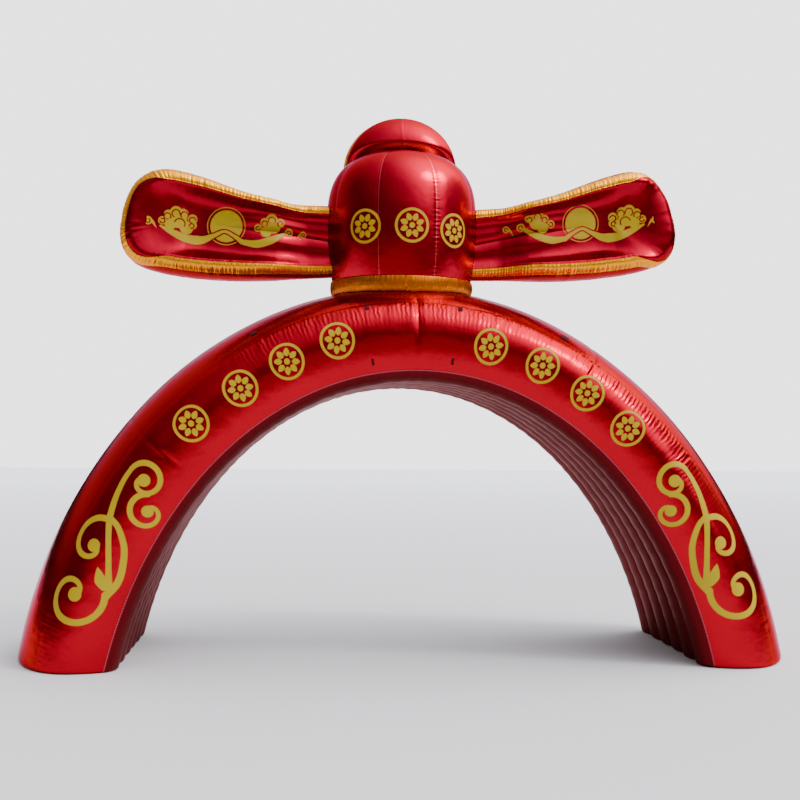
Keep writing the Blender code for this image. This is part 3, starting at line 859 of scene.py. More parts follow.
def make_body():
    """The hat's body: level rings from the neck up to a closed top."""
    neck = np.linspace(BAND_TOP + GAP, BODY_WIDEST, 60, endpoint=False)
    rise = np.sin(np.linspace(0, np.pi / 2, 100, endpoint=False)) ** (2 / DOME_SQUARENESS)
    height = np.concatenate([neck, BODY_WIDEST + BODY_DOME_RISE * rise])
    turn = np.arange(ROUND_STEPS) * 2 * np.pi / ROUND_STEPS
    grid = body_points(turn[None, :] + 0 * height[:, None], height[:, None] + 0 * turn[None, :])
    rows, columns = grid.shape[:2]
    ends = [[HAT_X, 0, BAND_TOP + GAP], [HAT_X, 0, BODY_WIDEST + BODY_DOME_RISE]]
    points = np.concatenate([grid.reshape(-1, 3), ends])
    faces = [grid_faces(rows, columns, closed=True)]
    faces.append(fan_faces(np.arange(columns)[::-1], rows * columns))
    faces.append(fan_faces((rows - 1) * columns + np.arange(columns), rows * columns + 1))
    # The gore seams' lines take the hat film's lighter seam colour, a painted highlight.
    distance = gore_seam(turn)[None, :] * 2 * np.pi / GORES * body_radius(height)[:, None]
    on_right = (turn > 0) & (turn < np.pi / 2)
    gather = np.exp(-((distance / 0.026) ** 2)) * np.where(on_right, 0.30, 0.08)[None, :]
    length = np.concatenate([[0], np.cumsum(np.linalg.norm(np.diff(grid[:, 0], axis=0), axis=1))])
    uv = np.stack(np.broadcast_arrays(length[:, None], turn[None, :] * BODY_RADIUS), axis=-1).reshape(-1, 2)
    return make_mesh(
        "hat_body_skin",
        points,
        np.concatenate(faces),
        (HAT_FILM,),
        (
            ("seam_distance", np.concatenate([distance.ravel(), [0.2, 0.0]])),
            ("gather", np.concatenate([gather.ravel(), [0, 0]])),
        ),
        np.concatenate([uv, [[0, 0], [length[-1], 0]]]),
    )


def make_base_band():
    """The gold drum under the hat: from the hat's neck down to a foot that follows the tube."""
    turn = np.arange(ROUND_STEPS) * 2 * np.pi / ROUND_STEPS
    fall = np.linspace(0, 1, 26)
    swell = np.sin(np.pi * fall * 0.9) ** 0.8
    profile = BODY_NECK_RADIUS + (BAND_MIDDLE - BODY_NECK_RADIUS) * swell
    profile = profile - (BODY_NECK_RADIUS - BAND_FOOT) * fall**2
    ripple = puckers(turn * BODY_NECK_RADIUS, 0.0, 4.4)[None, :] * (0.5 + 0.9 * np.abs(2 * fall[:, None] - 1))
    radius = profile[:, None] + 0.5 * ripple
    x = HAT_X + radius * np.sin(turn)[None, :]
    y = -radius * np.cos(turn)[None, :]
    foot = tube_top(x[-1], y[-1]) + 0.002
    z = (BAND_TOP - GAP) + (foot[None, :] - BAND_TOP + GAP) * fall[:, None]
    rows = [np.stack([x, y, z], axis=-1)]
    for share in (0.8, 0.55, 0.3, 0.12):
        inner_x = HAT_X + (x[-1] - HAT_X) * share
        inner_y = y[-1] * share
        inner_z = tube_top(inner_x, inner_y) + 0.002
        rows.append(np.stack([inner_x, inner_y, inner_z], axis=-1)[None])
    grid = np.concatenate(rows)
    count, columns = grid.shape[:2]
    middle = np.array([[HAT_X, 0.0, BAND_TOP - GAP], [HAT_X, 0.0, grid[-1, :, 2].mean()]])
    faces = [grid_faces(count, columns, closed=True)]
    faces.append(fan_faces(np.arange(columns)[::-1], count * columns))
    faces.append(fan_faces((count - 1) * columns + np.arange(columns), count * columns + 1))
    distance = np.minimum(fall, 1 - fall) * 0.16
    distance = np.concatenate([distance, np.full(count - len(fall), 0.1)])
    down = np.concatenate([fall * 0.16, 0.16 + 0.1 * np.arange(1, count - len(fall) + 1)])
    around = turn[None, :] * BODY_NECK_RADIUS
    uv = np.stack(np.broadcast_arrays(around, down[:, None]), axis=-1).reshape(-1, 2)
    return make_mesh(
        "base_band_skin",
        np.concatenate([grid.reshape(-1, 3), middle]),
        np.concatenate(faces),
        (DEEP_GOLD_FILM,),
        (("seam_distance", np.concatenate([np.repeat(distance, columns), [0.1, 0.1]])),),
        np.concatenate([uv, [[0, 0], [0, 0.6]]]),
    )


def smooth_path(points, steps=16):
    """A curve through the points, cubic between each pair with its neighbours as tangents."""
    p = np.array(points)
    before = np.vstack([2 * p[0] - p[1], p[:-2]])
    after = np.vstack([p[2:], 2 * p[-1] - p[-2]])
    start, end = p[:-1], p[1:]
    t = np.linspace(0, 1, steps, endpoint=False)[None, :, None]
    leave = 0.5 * (end - before)[:, None, :]
    arrive = 0.5 * (after - start)[:, None, :]
    a = start[:, None, :]
    b = end[:, None, :]
    curve = (
        (2 * t**3 - 3 * t**2 + 1) * a
        + (t**3 - 2 * t**2 + t) * leave
        + (3 * t**2 - 2 * t**3) * b
        + (t**3 - t**2) * arrive
    )
    return np.vstack([curve.reshape(-1, p.shape[1]), p[-1:]])


def grid_normals(grid, closed_columns, towards):
    """Unit normals of a grid of points, turned away from a middle."""
    along = np.gradient(grid, axis=0)
    if closed_columns:
        across = np.roll(grid, -1, axis=1) - np.roll(grid, 1, axis=1)
    else:
        across = np.gradient(grid, axis=1)
    normal = unit(np.cross(along, across))
    return normal if ((grid - towards) * normal).sum() > 0 else -normal


def body_margin(x, z):
    """How far outside the dome's outline a place is, seen from the front."""
    across = np.abs(x - HAT_X) / BODY_RADIUS
    up = np.maximum(z - BODY_WIDEST, 0) / BODY_DOME_RISE
    size = (across**DOME_SQUARENESS + up**DOME_SQUARENESS) ** (1 / DOME_SQUARENESS)
    return (size - 1) * 0.5 * (BODY_RADIUS + BODY_DOME_RISE)


def crown_grid():
    """Rows of the rear crown: one ellipse outline, scaled and set back along a smooth profile."""
    rows = smooth_path(CROWN_ROWS, CROWN_SMOOTHING)
    turn = np.arange(CROWN_STEPS) * 2 * np.pi / CROWN_STEPS
    scale, depth = rows.T
    ripple = puckers(turn * CROWN_HALF_WIDTH, 0.0, 6.2)[None, :]
    edges = np.abs(np.arange(len(rows)) / CROWN_SMOOTHING - 8.0)
    ripple = ripple * np.exp(-((edges / 1.3) ** 2))[:, None] * 0.7
    seam = crease(np.abs(np.cos(turn))[None, :] * 0.4, 0.02) * 0.0015 * (np.sin(turn)[None, :] > 0)
    size = scale[:, None] - seam / CROWN_HALF_WIDTH + ripple / CROWN_HALF_WIDTH
    x = CROWN_X + CROWN_HALF_WIDTH * size * np.cos(turn)[None, :]
    z = CROWN_MIDDLE + CROWN_HALF_HEIGHT * size * np.sin(turn)[None, :]
    tuck = CROWN_TUCK * (1 - smooth_step(body_margin(x, z), 0.0, CROWN_TUCK_REACH))
    y = depth[:, None] + tuck * smooth_step(depth[:, None], 0.16, -0.03)
    return np.stack([x, y, z], axis=-1), turn


def cut_by_body(piece, cutter):
    """Takes the hat's body, grown by the gap, out of a piece that stands on it."""
    modifier = piece.modifiers.new("seat", "BOOLEAN")
    modifier.operation = "DIFFERENCE"
    modifier.solver = "EXACT"
    modifier.object = cutter
    graph = bpy.context.evaluated_depsgraph_get()
    mesh = bpy.data.meshes.new_from_object(piece.evaluated_get(graph))
    piece.modifiers.clear()
    old = piece.data
    mesh.name = old.name + "_seated"
    piece.data = mesh
    bpy.data.meshes.remove(old)
    mesh.shade_smooth()
    return piece


def make_cutter():
    """The hat's body grown by a little more than its gap, as a plain closed form."""
    height = np.concatenate([[BAND_TOP - 0.01], np.linspace(3.0, BODY_WIDEST, 6)])
    rise = np.sin(np.linspace(0, np.pi / 2, 40, endpoint=False)[1:]) ** (2 / DOME_SQUARENESS)
    height = np.concatenate([height, BODY_WIDEST + BODY_DOME_RISE * rise])
    turn = np.arange(96) * 2 * np.pi / 96
    grid = body_points(turn[None, :] + 0 * height[:, None], height[:, None] + 0 * turn[None, :], lift=0.003)
    rows, columns = grid.shape[:2]
    ends = [[HAT_X, 0, BAND_TOP - 0.01], [HAT_X, 0, BODY_WIDEST + BODY_DOME_RISE + 0.003]]
    faces = [grid_faces(rows, columns, closed=True)]
    faces.append(fan_faces(np.arange(columns)[::-1], rows * columns))
    faces.append(fan_faces((rows - 1) * columns + np.arange(columns), rows * columns + 1))
    return make_mesh("body_cutter", np.concatenate([grid.reshape(-1, 3), ends]), np.concatenate(faces), ())


def make_crown(cutter):
    grid, turn = crown_grid()
    rows, columns = grid.shape[:2]
    ends = np.array([grid[0].mean(axis=0), grid[-1].mean(axis=0)])
    faces = [grid_faces(rows, columns, closed=True)]
    faces.append(fan_faces(np.arange(columns)[::-1], rows * columns))
    faces.append(fan_faces((rows - 1) * columns + np.arange(columns), rows * columns + 1))
    # The crown's seam lines, beside its band and down its side, take the hat film's lighter seam colour, a
    # painted highlight.
    place = np.arange(rows) / CROWN_SMOOTHING
    edge = np.minimum(np.abs(place - CROWN_BAND_FIRST), np.abs(place - CROWN_BAND_LAST)) * 0.03
    side = np.where(np.sin(turn) > 0, np.abs(np.cos(turn)) * 0.4, 0.2)
    distance = np.minimum(edge[:, None], side[None, :])
    uv = np.stack(np.broadcast_arrays(turn[None, :] * CROWN_HALF_WIDTH, place[:, None] * 0.05), axis=-1)
    crown = make_mesh(
        "crown_skin",
        np.concatenate([grid.reshape(-1, 3), ends]),
        np.concatenate(faces),
        (HAT_FILM,),
        (("seam_distance", np.concatenate([distance.ravel(), [0.2, 0.2]])),),
        np.concatenate([uv.reshape(-1, 2), [[0, 0], [0, 1]]]),
    )
    normals = grid_normals(grid, True, np.array([CROWN_X, 0.2, CROWN_MIDDLE]))
    chosen = slice(CROWN_BAND_FIRST * CROWN_SMOOTHING, CROWN_BAND_LAST * CROWN_SMOOTHING + 1)
    strip, strip_normals, strip_uv = grid[chosen], normals[chosen], uv[chosen]
    band_rows = strip.shape[0]
    points, faces = shell(
        strip.reshape(-1, 3), strip_normals.reshape(-1, 3), grid_faces(band_rows, columns, True), GAP, STRIP
    )
    across = np.minimum(np.arange(band_rows), np.arange(band_rows)[::-1]) * 0.006 + 0.004
    band = make_mesh(
        "crown_band_skin",
        points,
        faces,
        (GOLD_FILM,),
        (("seam_distance", np.tile(np.repeat(across, columns), 2)),),
        np.tile(strip_uv.reshape(-1, 2), (2, 1)),
    )
    return cut_by_body(crown, cutter), cut_by_body(band, cutter)


def wing_lines(run_steps=WING_RUN_STEPS, tip_steps=WING_TIP_STEPS):
    """Outline points and the spine points that they fan out from, root top to root bottom."""
    path = smooth_path(WING_OUTLINE, 48)
    turn = int(np.argmax(path[:, 0]))
    top, bottom = path[: turn + 1], path[turn:][::-1]
    reach = np.linspace(WING_SPINE_START[0], WING_SPINE_END[0], run_steps + 1)
    top_run = np.stack([reach, np.interp(reach, top[:, 0], top[:, 1])], axis=-1)
    bottom_run = np.stack([reach, np.interp(reach, bottom[:, 0], bottom[:, 1])], axis=-1)
    ahead = path[:, 0] > WING_SPINE_END[0]
    tip = np.vstack([top_run[-1:], path[ahead], bottom_run[-1:]])
    length = np.concatenate([[0], np.cumsum(np.linalg.norm(np.diff(tip, axis=0), axis=1))])
    even = np.linspace(0, length[-1], tip_steps + 1)[1:-1]
    tip = np.stack([np.interp(even, length, tip[:, 0]), np.interp(even, length, tip[:, 1])], axis=-1)
    outline = np.vstack([top_run, tip, bottom_run[::-1]])
    share = np.clip((outline[:, 0] - WING_SPINE_START[0]) / (reach[-1] - reach[0]), 0, 1)[:, None]
    spine = np.array(WING_SPINE_START) * (1 - share) + np.array(WING_SPINE_END) * share
    return outline, spine


def rim_section(turn, reach):
    """Across share and depth of the rim at turns round it, less sunken past its crest near the tip."""
    fill = WING_TIP_FILL * smooth_step(reach, *WING_TIP_REACH)
    past_crest = np.maximum(np.abs(turn) - BAND_TURN[0], 0)
    turn = np.radians(turn - np.sign(turn) * past_crest * fill)
    across = 1 - WING_RIM_SHARE + WING_RIM_SHARE * signed_power(np.cos(turn), WING_RIM_POWER)
    return across, -WING_HALF_DEPTH * signed_power(np.sin(turn), WING_RIM_POWER)


def wing_grid(lines, shares, angles, sign, root_rise, tip_rise, slide, lean):
    """Rows round the outline; columns over the front face, round the rim by angles, and back."""
    outline, spine = lines
    length = np.concatenate([[0], np.cumsum(np.linalg.norm(np.diff(outline, axis=0), axis=1))])
    at_tip = smooth_step(outline[:, 0], *BAND_SLIDE_REACH)[:, None]
    base = angles[None, :]
    ahead = (RIM_TURN - base) / (RIM_TURN - BAND_TURN[0])
    behind = (RIM_TURN + base) / (RIM_TURN + BAND_TURN[1])
    turn = base + slide * at_tip * np.minimum(np.minimum(ahead, behind), 1)
    rim_across, rim_depth = rim_section(turn, outline[:, :1])
    share = shares[None, :]
    bulge = WING_CHANNEL_BULGE * (1 - smooth_step(outline[:, :1], *WING_CHANNEL_FADE))
    spine_depth = rim_section(RIM_TURN, spine[:, :1])[1]
    face_across = rim_across[:, :1] * share
    face_depth = spine_depth + (rim_depth[:, :1] - spine_depth) * share
    face_depth = face_depth - bulge * np.sin(np.pi * share) ** CHANNEL_FULLNESS
    across = np.hstack([face_across, rim_across, face_across[:, ::-1]])
    depth = np.hstack([face_depth, rim_depth, -face_depth[:, ::-1]])
    reach = spine[:, :1] + (outline[:, :1] - spine[:, :1]) * across
    depth = depth * (ROOT_DEPTH + (1 - ROOT_DEPTH) * smooth_step(reach, *ROOT_TAPER))
    height = spine[:, 1:] + (outline[:, 1:] - spine[:, 1:]) * across
    share_out = (reach - BODY_RADIUS) / (WING_END - BODY_RADIUS)
    reach = reach - lean * (height - WING_SPINE_END[1]) * smooth_step(reach, *WING_TIP_REACH)
    height = height + root_rise + (tip_rise - root_rise) * share_out
    on_body = np.sqrt(np.maximum(body_radius(height) ** 2 - depth**2, 0.01)) + 0.001
    drawn = np.clip((reach - WING_SPINE_START[0]) / (WING_ROOT - WING_SPINE_START[0]), 0, 1)
    reach = np.where(reach < WING_ROOT, on_body + (WING_ROOT - on_body) * drawn, reach)
    grid = np.stack([HAT_X + sign * reach, depth, height], axis=-1)
    turns = np.concatenate([RIM_TURN + 80 * (1 - shares), angles, -RIM_TURN - 80 * (1 - shares[::-1])])
    edge = np.abs(np.abs(turns) - RIM_TURN)
    ease = (0.5 * smooth_step(edge, 45.0, 20.0))[None, 1:-1, None]
    for _ in range(RIM_EASING if len(shares) > 5 else 0):
        between = 0.5 * (grid[:, :-2] + grid[:, 2:])
        grid[:, 1:-1] += (between - grid[:, 1:-1]) * ease
    return grid, length


def wing_relief(columns_turn, length, grid, phase):
    """Puckers beside both edges of the gold band and soft cross wrinkles on the channels."""
    run = length[:, None] + 0 * columns_turn[None, :]
    relief = np.zeros(run.shape)
    for edge, strength in ((BAND_TURN[0], 0.6), (BAND_TURN[1], 0.6), (-30.0, 0.4)):
        off = np.abs(columns_turn - edge) / 57.3 * 0.14
        relief = relief + strength * puckers(run, 2.2 * off[None, :] + 0 * run, phase + edge)
    on_face = (np.abs(columns_turn)[None, :] > RIM_TURN) * smooth_step(np.abs(grid[..., 0] - HAT_X), 1.6, 1.2)
    wrinkle = np.sin(run * 31 + 2.0 * np.sin(run * 6.1)) * (0.5 + 0.5 * np.sin(run * 4.3 + phase))
    relief = relief + 0.0009 * wrinkle * on_face
    away = smooth_step(np.abs(grid[..., 0] - HAT_X), 0.62, 0.85)
    return relief * away


def wing_surface(*shape):
    """The puckered surface of a wing with its normals and the turn of each column."""
    shares = np.concatenate([np.linspace(0, 0.1, 4, endpoint=False), np.linspace(0.1, 1, 19, endpoint=False)])
    angles = np.concatenate([np.arange(RIM_TURN, -RIM_TURN, -6.0), [-RIM_TURN]])
    grid, length = wing_grid(wing_lines(), shares, angles, *shape)
    turn = np.concatenate([RIM_TURN + 80 * (1 - shares), angles, -RIM_TURN - 80 * (1 - shares[::-1])])
    normals = grid_normals(grid, False, np.array([HAT_X + shape[0] * 1.3, 0.0, 3.35]))
    relief = wing_relief(turn, length, grid, 1.0 + 2.0 * shape[0])
    return grid + normals * relief[..., None], normals, turn, length, len(shares)


def make_wing(side, *shape):
    """One wing: channels on both faces, a puffed rim, and a root that ends on the hat's body."""
    grid, _, turn, _, _ = wing_surface(*shape)
    rows, columns = grid.shape[:2]
    half = columns // 2
    cap = []
    for part in np.linspace(0, 1, 14)[1:-1]:
        line = grid[0, : half + 1] * (1 - part) + grid[0, columns - half - 1 :][::-1] * part
        lower = grid[-1, : half + 1] * (1 - part) + grid[-1, columns - half - 1 :][::-1] * part
        cap.append(np.concatenate([line[::-1], lower[1:]]))
    cap = np.array(cap)
    on_body = np.sqrt(np.maximum(body_radius(cap[..., 2]) ** 2 - cap[..., 1] ** 2, 0.01)) + 0.001
    cap[..., 0] = HAT_X + shape[0] * on_body
    count = rows * columns
    index = np.arange(count).reshape(rows, columns)
    front = np.concatenate([index[0, : half + 1][::-1], index[-1, 1 : half + 1]])
    back = np.concatenate([index[0, columns - half - 1 :], index[-1, columns - half - 1 : -1][::-1]])
    width = len(front)
    inner = count + np.arange(len(cap) * width).reshape(len(cap), width)
    lattice = np.vstack([front, inner, back])
    a, b, c, d = lattice[:-1, :-1], lattice[:-1, 1:], lattice[1:, 1:], lattice[1:, :-1]
    cap_faces = np.stack([a, d, c, b], axis=-1).reshape(-1, 4)
    distance = np.minimum(np.abs(turn - BAND_TURN[0]), np.abs(turn - BAND_TURN[1])) / 57.3 * 0.14
    distance = np.where(np.abs(turn) > RIM_TURN, 0.2, distance)
    extra = cap.reshape(-1, 3)
    points = np.concatenate([grid.reshape(-1, 3), extra])
    return make_mesh(
        "wing_skin_" + side,
        points,
        np.concatenate([grid_faces(rows, columns, False), cap_faces]),
        (WING_FILM,),
        (("seam_distance", np.concatenate([np.tile(distance, rows), np.full(len(extra), 0.2)])),),
        points[:, [0, 2]],
    )


def make_wing_band(side, *shape):
    """The gold strip on a wing's front rim, between the two band turns."""
    angles = np.linspace(BAND_TURN[0], BAND_TURN[1], 13)
    shares = np.array([0.0])
    angles_all = np.concatenate([[RIM_TURN], angles, [-RIM_TURN]])
    grid, length = wing_grid(wing_lines(240, 130), shares, angles_all, *shape)
    turn = np.concatenate([[RIM_TURN + 80, RIM_TURN], angles, [-RIM_TURN, -RIM_TURN - 80]])
    middle = np.array([HAT_X + shape[0] * 1.3, 0.0, 3.35])
    normals = grid_normals(grid[:, 2:-2], False, middle)
    phase = 1.0 + 2.0 * shape[0]
    strip = grid[:, 2:-2] + normals * wing_relief(turn, length, grid, phase)[:, 2:-2, None]
    across = np.sin(np.linspace(0, np.pi, 13))[None, :]
    gathers = np.abs(np.sin(length * 92 + 1.5 * np.sin(length * 13) + phase)) ** 0.7
    gathers = gathers * (0.7 + 0.3 * np.sin(length * 31))
    strip = strip + normals * ((0.002 + 0.0065 * gathers[:, None]) * across)[..., None]
    rows, columns = strip.shape[:2]
    faces = grid_faces(rows, columns, False)
    points, faces = shell(strip.reshape(-1, 3), normals.reshape(-1, 3), faces, 0.0012, STRIP)
    edge = np.minimum(np.arange(13), np.arange(13)[::-1]) * 0.009 + 0.002
    uv = np.stack(np.broadcast_arrays(length[:, None], np.linspace(0, 0.11, 13)[None, :]), axis=-1)
    return make_mesh(
        "wing_band_skin_" + side,
        points,
        faces,
        (GOLD_FILM,),
        (("seam_distance", np.tile(np.tile(edge, rows), 2)),),
        np.tile(uv.reshape(-1, 2), (2, 1)),
    )


# Prints


def to_segments(points, path, widths):
    """Distance from points to a path, less the path's half width there."""
    best = np.full(points.shape[:-1], 9.0)
    for a, b, wide_a, wide_b in zip(path[:-1], path[1:], widths[:-1], widths[1:]):
        run = b - a
        t = np.clip(((points - a) @ run) / max(run @ run, 1e-12), 0, 1)
        away = np.linalg.norm(points - a - t[..., None] * run, axis=-1)
        best = np.minimum(best, away - (wide_a + (wide_b - wide_a) * t))
    return best


def curl(centre, radius, start, sweep, closing, eye, steps=44):
    """A spiral from a radius down to the middle of its eye over a sweep in degrees, slow then fast."""
    t = np.linspace(0, 1, steps)
    turn = np.radians(start + sweep * t)
    reach = radius + (0.5 * eye - radius) * t**closing
    return np.stack([centre[0] + reach * np.cos(turn), centre[1] + reach * np.sin(turn)], axis=-1)


# Vine scroll, in metres down the leg and out from the front corner. Curls: middle, radius and
# direction in degrees at the open end, sweep, how late it closes, eye radius, stroke half width
VINE_CURLS = (
    (0.087, 0.264, 0.128, 96.0, 345.0, 2.6, 0.048, 0.0225),
    (0.267, 0.118, 0.130, 150.0, -352.0, 2.4, 0.046, 0.0225),
    (0.673, 0.332, 0.212, 182.0, -275.0, 1.0, 0.048, 0.0235),
    (1.046, 0.318, 0.214, -109.0, 345.0, 2.0, 0.052, 0.0260),
)
# Stems: places as metres down and out, then half widths from end to end
VINE_STEMS = (
    (((0.075, 0.391), (0.165, 0.389), (0.299, 0.366), (0.455, 0.322)), (0.021, 0.023, 0.025)),
    (
        ((0.455, 0.322), (0.560, 0.270), (0.700, 0.202), (0.820, 0.150), (0.905, 0.118)),
        (0.024, 0.021, 0.022, 0.030),
    ),
    (
        ((0.440, 0.326), (0.480, 0.235), (0.588, 0.135), (0.730, 0.082), (0.860, 0.068), (0.980, 0.108)),
        (0.020, 0.024, 0.027, 0.030),
    ),
    (((0.800, 0.240), (0.835, 0.218), (0.885, 0.182), (0.915, 0.140)), (0.001, 0.022, 0.044, 0.036)),
)


def vine_field(down, out):
    """Signed distance to the vine scroll: stems along smooth paths, curls with round eyes, one bud."""
    points = np.stack([down, out], axis=-1)
    parts = []
    for middle_down, middle_out, radius, start, sweep, closing, eye, half in VINE_CURLS:
        path = curl((middle_down, middle_out), radius, start, sweep, closing, eye)
        widths = half * (1 - 0.35 * np.linspace(0, 1, len(path)) ** 2)
        parts.append(to_segments(points, path, widths))
        parts.append(np.hypot(down - middle_down, out - middle_out) - eye)
    for places, widths in VINE_STEMS:
        path = smooth_path(places, 10)
        along = np.linspace(0, 1, len(path))
        parts.append(to_segments(points, path, np.interp(along, np.linspace(0, 1, len(widths)), widths)))
    return np.minimum.reduce(parts)


# Cloud-and-sun print, in metres out from the middle of its sun and up
SUN_RADIUS = 0.126
SUN_RING = (0.146, 0.0045)
PRINT_MIDDLES = {"left": (1.385, 3.319), "right": (1.424, 3.404)}
PRINT_TILT = {"left": 0.0, "right": 0.02}
# Cloud lobes: out, up, radius
CLOUD_LOBES = (
    (0.387, 0.100, 0.046),
    (0.444, 0.080, 0.036),
    (0.490, 0.030, 0.033),
    (0.331, 0.088, 0.040),
    (0.370, 0.040, 0.066),
    (0.262, 0.050, 0.038),
    (0.262, 0.002, 0.034),
    (0.430, 0.002, 0.044),
    (0.308, -0.020, 0.052),
    (0.597, 0.024, 0.033),
    (-0.353, 0.058, 0.044),
    (-0.296, 0.034, 0.032),
    (-0.420, 0.034, 0.034),
    (-0.365, 0.004, 0.056),
    (-0.246, -0.010, 0.032),
    (-0.485, -0.036, 0.032),
    (-0.308, -0.040, 0.044),
    (-0.596, -0.046, 0.027),
)
# Ribbons: places out and up, then half widths from end to end
CLOUD_RIBBONS = (
    (
        ((0.505, -0.012), (0.422, -0.056), (0.308, -0.104), (0.194, -0.112), (0.091, -0.072)),
        (0.008, 0.028, 0.038, 0.017),
    ),
    (((0.091, -0.072), (0.016, -0.041), (-0.057, -0.074), (-0.125, -0.124)), (0.017, 0.012, 0.014, 0.020)),
    (((-0.125, -0.124), (-0.239, -0.137), (-0.353, -0.104), (-0.450, -0.052)), (0.020, 0.031, 0.030, 0.014)),
    (((0.600, 0.045), (0.566, 0.020), (0.545, -0.012), (0.530, -0.040)), (0.012, 0.012, 0.006, 0.001)),
    (((-0.600, -0.028), (-0.570, -0.050), (-0.550, -0.076), (-0.536, -0.098)), (0.010, 0.010, 0.005, 0.001)),
)
# Open curl lines inside the clouds: middle out and up, radius, start and sweep in degrees
CLOUD_LINES = (
    (0.387, 0.088, 0.030, -60.0, 250.0),
    (0.452, 0.064, 0.026, -40.0, 250.0),
    (0.490, 0.028, 0.018, 60.0, 290.0),
    (0.322, 0.076, 0.028, -30.0, 230.0),
    (0.262, 0.040, 0.024, -80.0, 250.0),
    (0.268, -0.004, 0.018, 0.0, 300.0),
    (0.360, 0.010, 0.040, 20.0, 190.0),
    (0.597, 0.022, 0.015, 120.0, 290.0),
    (-0.353, 0.046, 0.028, -20.0, 220.0),
    (-0.298, 0.024, 0.020, -20.0, 240.0),
    (-0.418, 0.024, 0.020, -60.0, 240.0),
    (-0.246, -0.012, 0.016, 180.0, 290.0),
    (-0.485, -0.038, 0.016, 0.0, 290.0),
    (-0.596, -0.046, 0.012, 0.0, 290.0),
)
CLOUD_LINE_HALF = 0.0036
PRINT_REFINING = (2, 3)  # points added to the wing's grid along it and across it
RIBBON_GAP = 0.008


def cloud_field(out, up):
    """Signed distance to the print: a sun and its ring behind ribbons that join two clouds."""
    points = np.stack([out, up], axis=-1)
    ribbons = []
    for places, widths in CLOUD_RIBBONS:
        path = smooth_path(places, 12)
        along = np.linspace(0, 1, len(path))
        ribbons.append(to_segments(points, path, np.interp(along, np.linspace(0, 1, len(widths)), widths)))
    ribbon = np.minimum.reduce(ribbons)
    lobes = np.minimum.reduce([np.hypot(out - x, up - y) - radius for x, y, radius in CLOUD_LOBES])
    lines = []
    for x, y, radius, start, sweep in CLOUD_LINES:
        turn = np.radians(start + sweep * np.linspace(0, 1, 18))
        path = np.stack([x + radius * np.cos(turn), y + radius * np.sin(turn)], axis=-1)
        lines.append(to_segments(points, path, np.full(len(path), CLOUD_LINE_HALF)))
    clouds = np.maximum(np.minimum(lobes, ribbon), -np.minimum.reduce(lines))
    from_sun = np.hypot(out, up)
    sun = np.minimum(from_sun - SUN_RADIUS, np.abs(from_sun - SUN_RING[0]) - SUN_RING[1])
    sun = np.maximum(sun, RIBBON_GAP - np.minimum(ribbon, lobes))
    return np.minimum(clouds, sun)


def medallion_field(x, y, radius):
    """Signed distance to a rosette: a ring, eight petals and a round eye."""
    reach = np.hypot(x, y) / radius
    turn = np.arctan2(y, x)
    ring = np.abs(reach - 0.90) - 0.085
    petal_turn = (turn / (2 * np.pi) * 8) % 1.0 - 0.5
    petal_width = 0.34 * np.sin(np.pi * np.clip((reach - 0.26) / 0.46, 0, 1)) ** 0.7
    beside = np.abs(petal_turn) * 2 * np.pi / 8 * reach - 0.5 * petal_width
    petals = np.maximum(beside, np.abs(reach - 0.49) - 0.23)
    eye = reach - 0.17
    return np.minimum(np.minimum(ring, petals), eye) * radius


def march(points, normals, field, rows, columns):
    """The part of a triangulated grid where the field is negative, cut along its zero line."""
    quads = grid_faces(rows, columns, False)
    triangles = np.concatenate([quads[:, [0, 1, 2]], quads[:, [0, 2, 3]]])
    inside = field < 0
    count = inside[triangles].sum(axis=1)
    made_points, made_normals, made_field = [points], [normals], [field]
    total = len(points)
    whole = triangles[count == 3]
    faces = [np.stack([whole[:, 0], whole[:, 1], whole[:, 2], whole[:, 2]], axis=-1)]
    for wanted, odd_inside in ((1, True), (2, False)):
        chosen = triangles[count == wanted]
        if not len(chosen):
            continue
        odd = np.argmax(inside[chosen] == odd_inside, axis=1)
        order = (odd[:, None] + np.arange(3)[None, :]) % 3
        chosen = np.take_along_axis(chosen, order, axis=1)
        ends = []
        for other in (1, 2):
            a, b = chosen[:, 0], chosen[:, other]
            low, high = np.minimum(a, b), np.maximum(a, b)
            t = (field[low] / (field[low] - field[high]))[:, None]
            made_points.append(points[low] + (points[high] - points[low]) * t)
            made_normals.append(unit(normals[low] + (normals[high] - normals[low]) * t))
            made_field.append(np.zeros(len(low)))
            ends.append(total + np.arange(len(low)))
            total += len(low)
        if odd_inside:
            faces.append(np.stack([chosen[:, 0], ends[0], ends[1], ends[1]], axis=-1))
        else:
            faces.append(np.stack([ends[0], chosen[:, 1], chosen[:, 2], ends[1]], axis=-1))
    all_points = np.concatenate(made_points)
    all_normals = np.concatenate(made_normals)
    all_field = np.concatenate(made_field)
    all_faces = np.concatenate(faces)
    keys = np.round(all_points * 1e6).astype(np.int64)
    _, first, back = np.unique(keys, axis=0, return_index=True, return_inverse=True)
    back = back.reshape(-1)
    all_faces = back[all_faces]
    used = np.unique(all_faces)
    number = np.full(len(first), -1)
    number[used] = np.arange(len(used))
    all_faces = number[all_faces]
    keep = first[used]
    a, b, c = all_faces[:, 0], all_faces[:, 1], all_faces[:, 2]
    sound = (a != b) & (b != c) & (a != c)
    return all_points[keep], all_normals[keep], all_field[keep], all_faces[sound]


def print_piece(name, patches):
    """One print from patches of (points, normals, field), each a grid on its skin."""
    all_points, all_faces, all_inside = [], [], []
    total = 0
    for points, normals, field in patches:
        rows, columns = field.shape
        p, n, f, faces = march(points.reshape(-1, 3), normals.reshape(-1, 3), field.ravel(), rows, columns)
        places, closed = shell(p, n, faces, PRINT_GAP, PRINT_THICK)
        all_points.append(places)
        all_faces.append(closed + total)
        all_inside.append(np.tile(-f, 2))
        total += len(places)
    return make_mesh(
        name,
        np.concatenate(all_points),
        np.concatenate(all_faces),
        (GOLD_INK,),
        (("inside", np.concatenate(all_inside)),),
    )


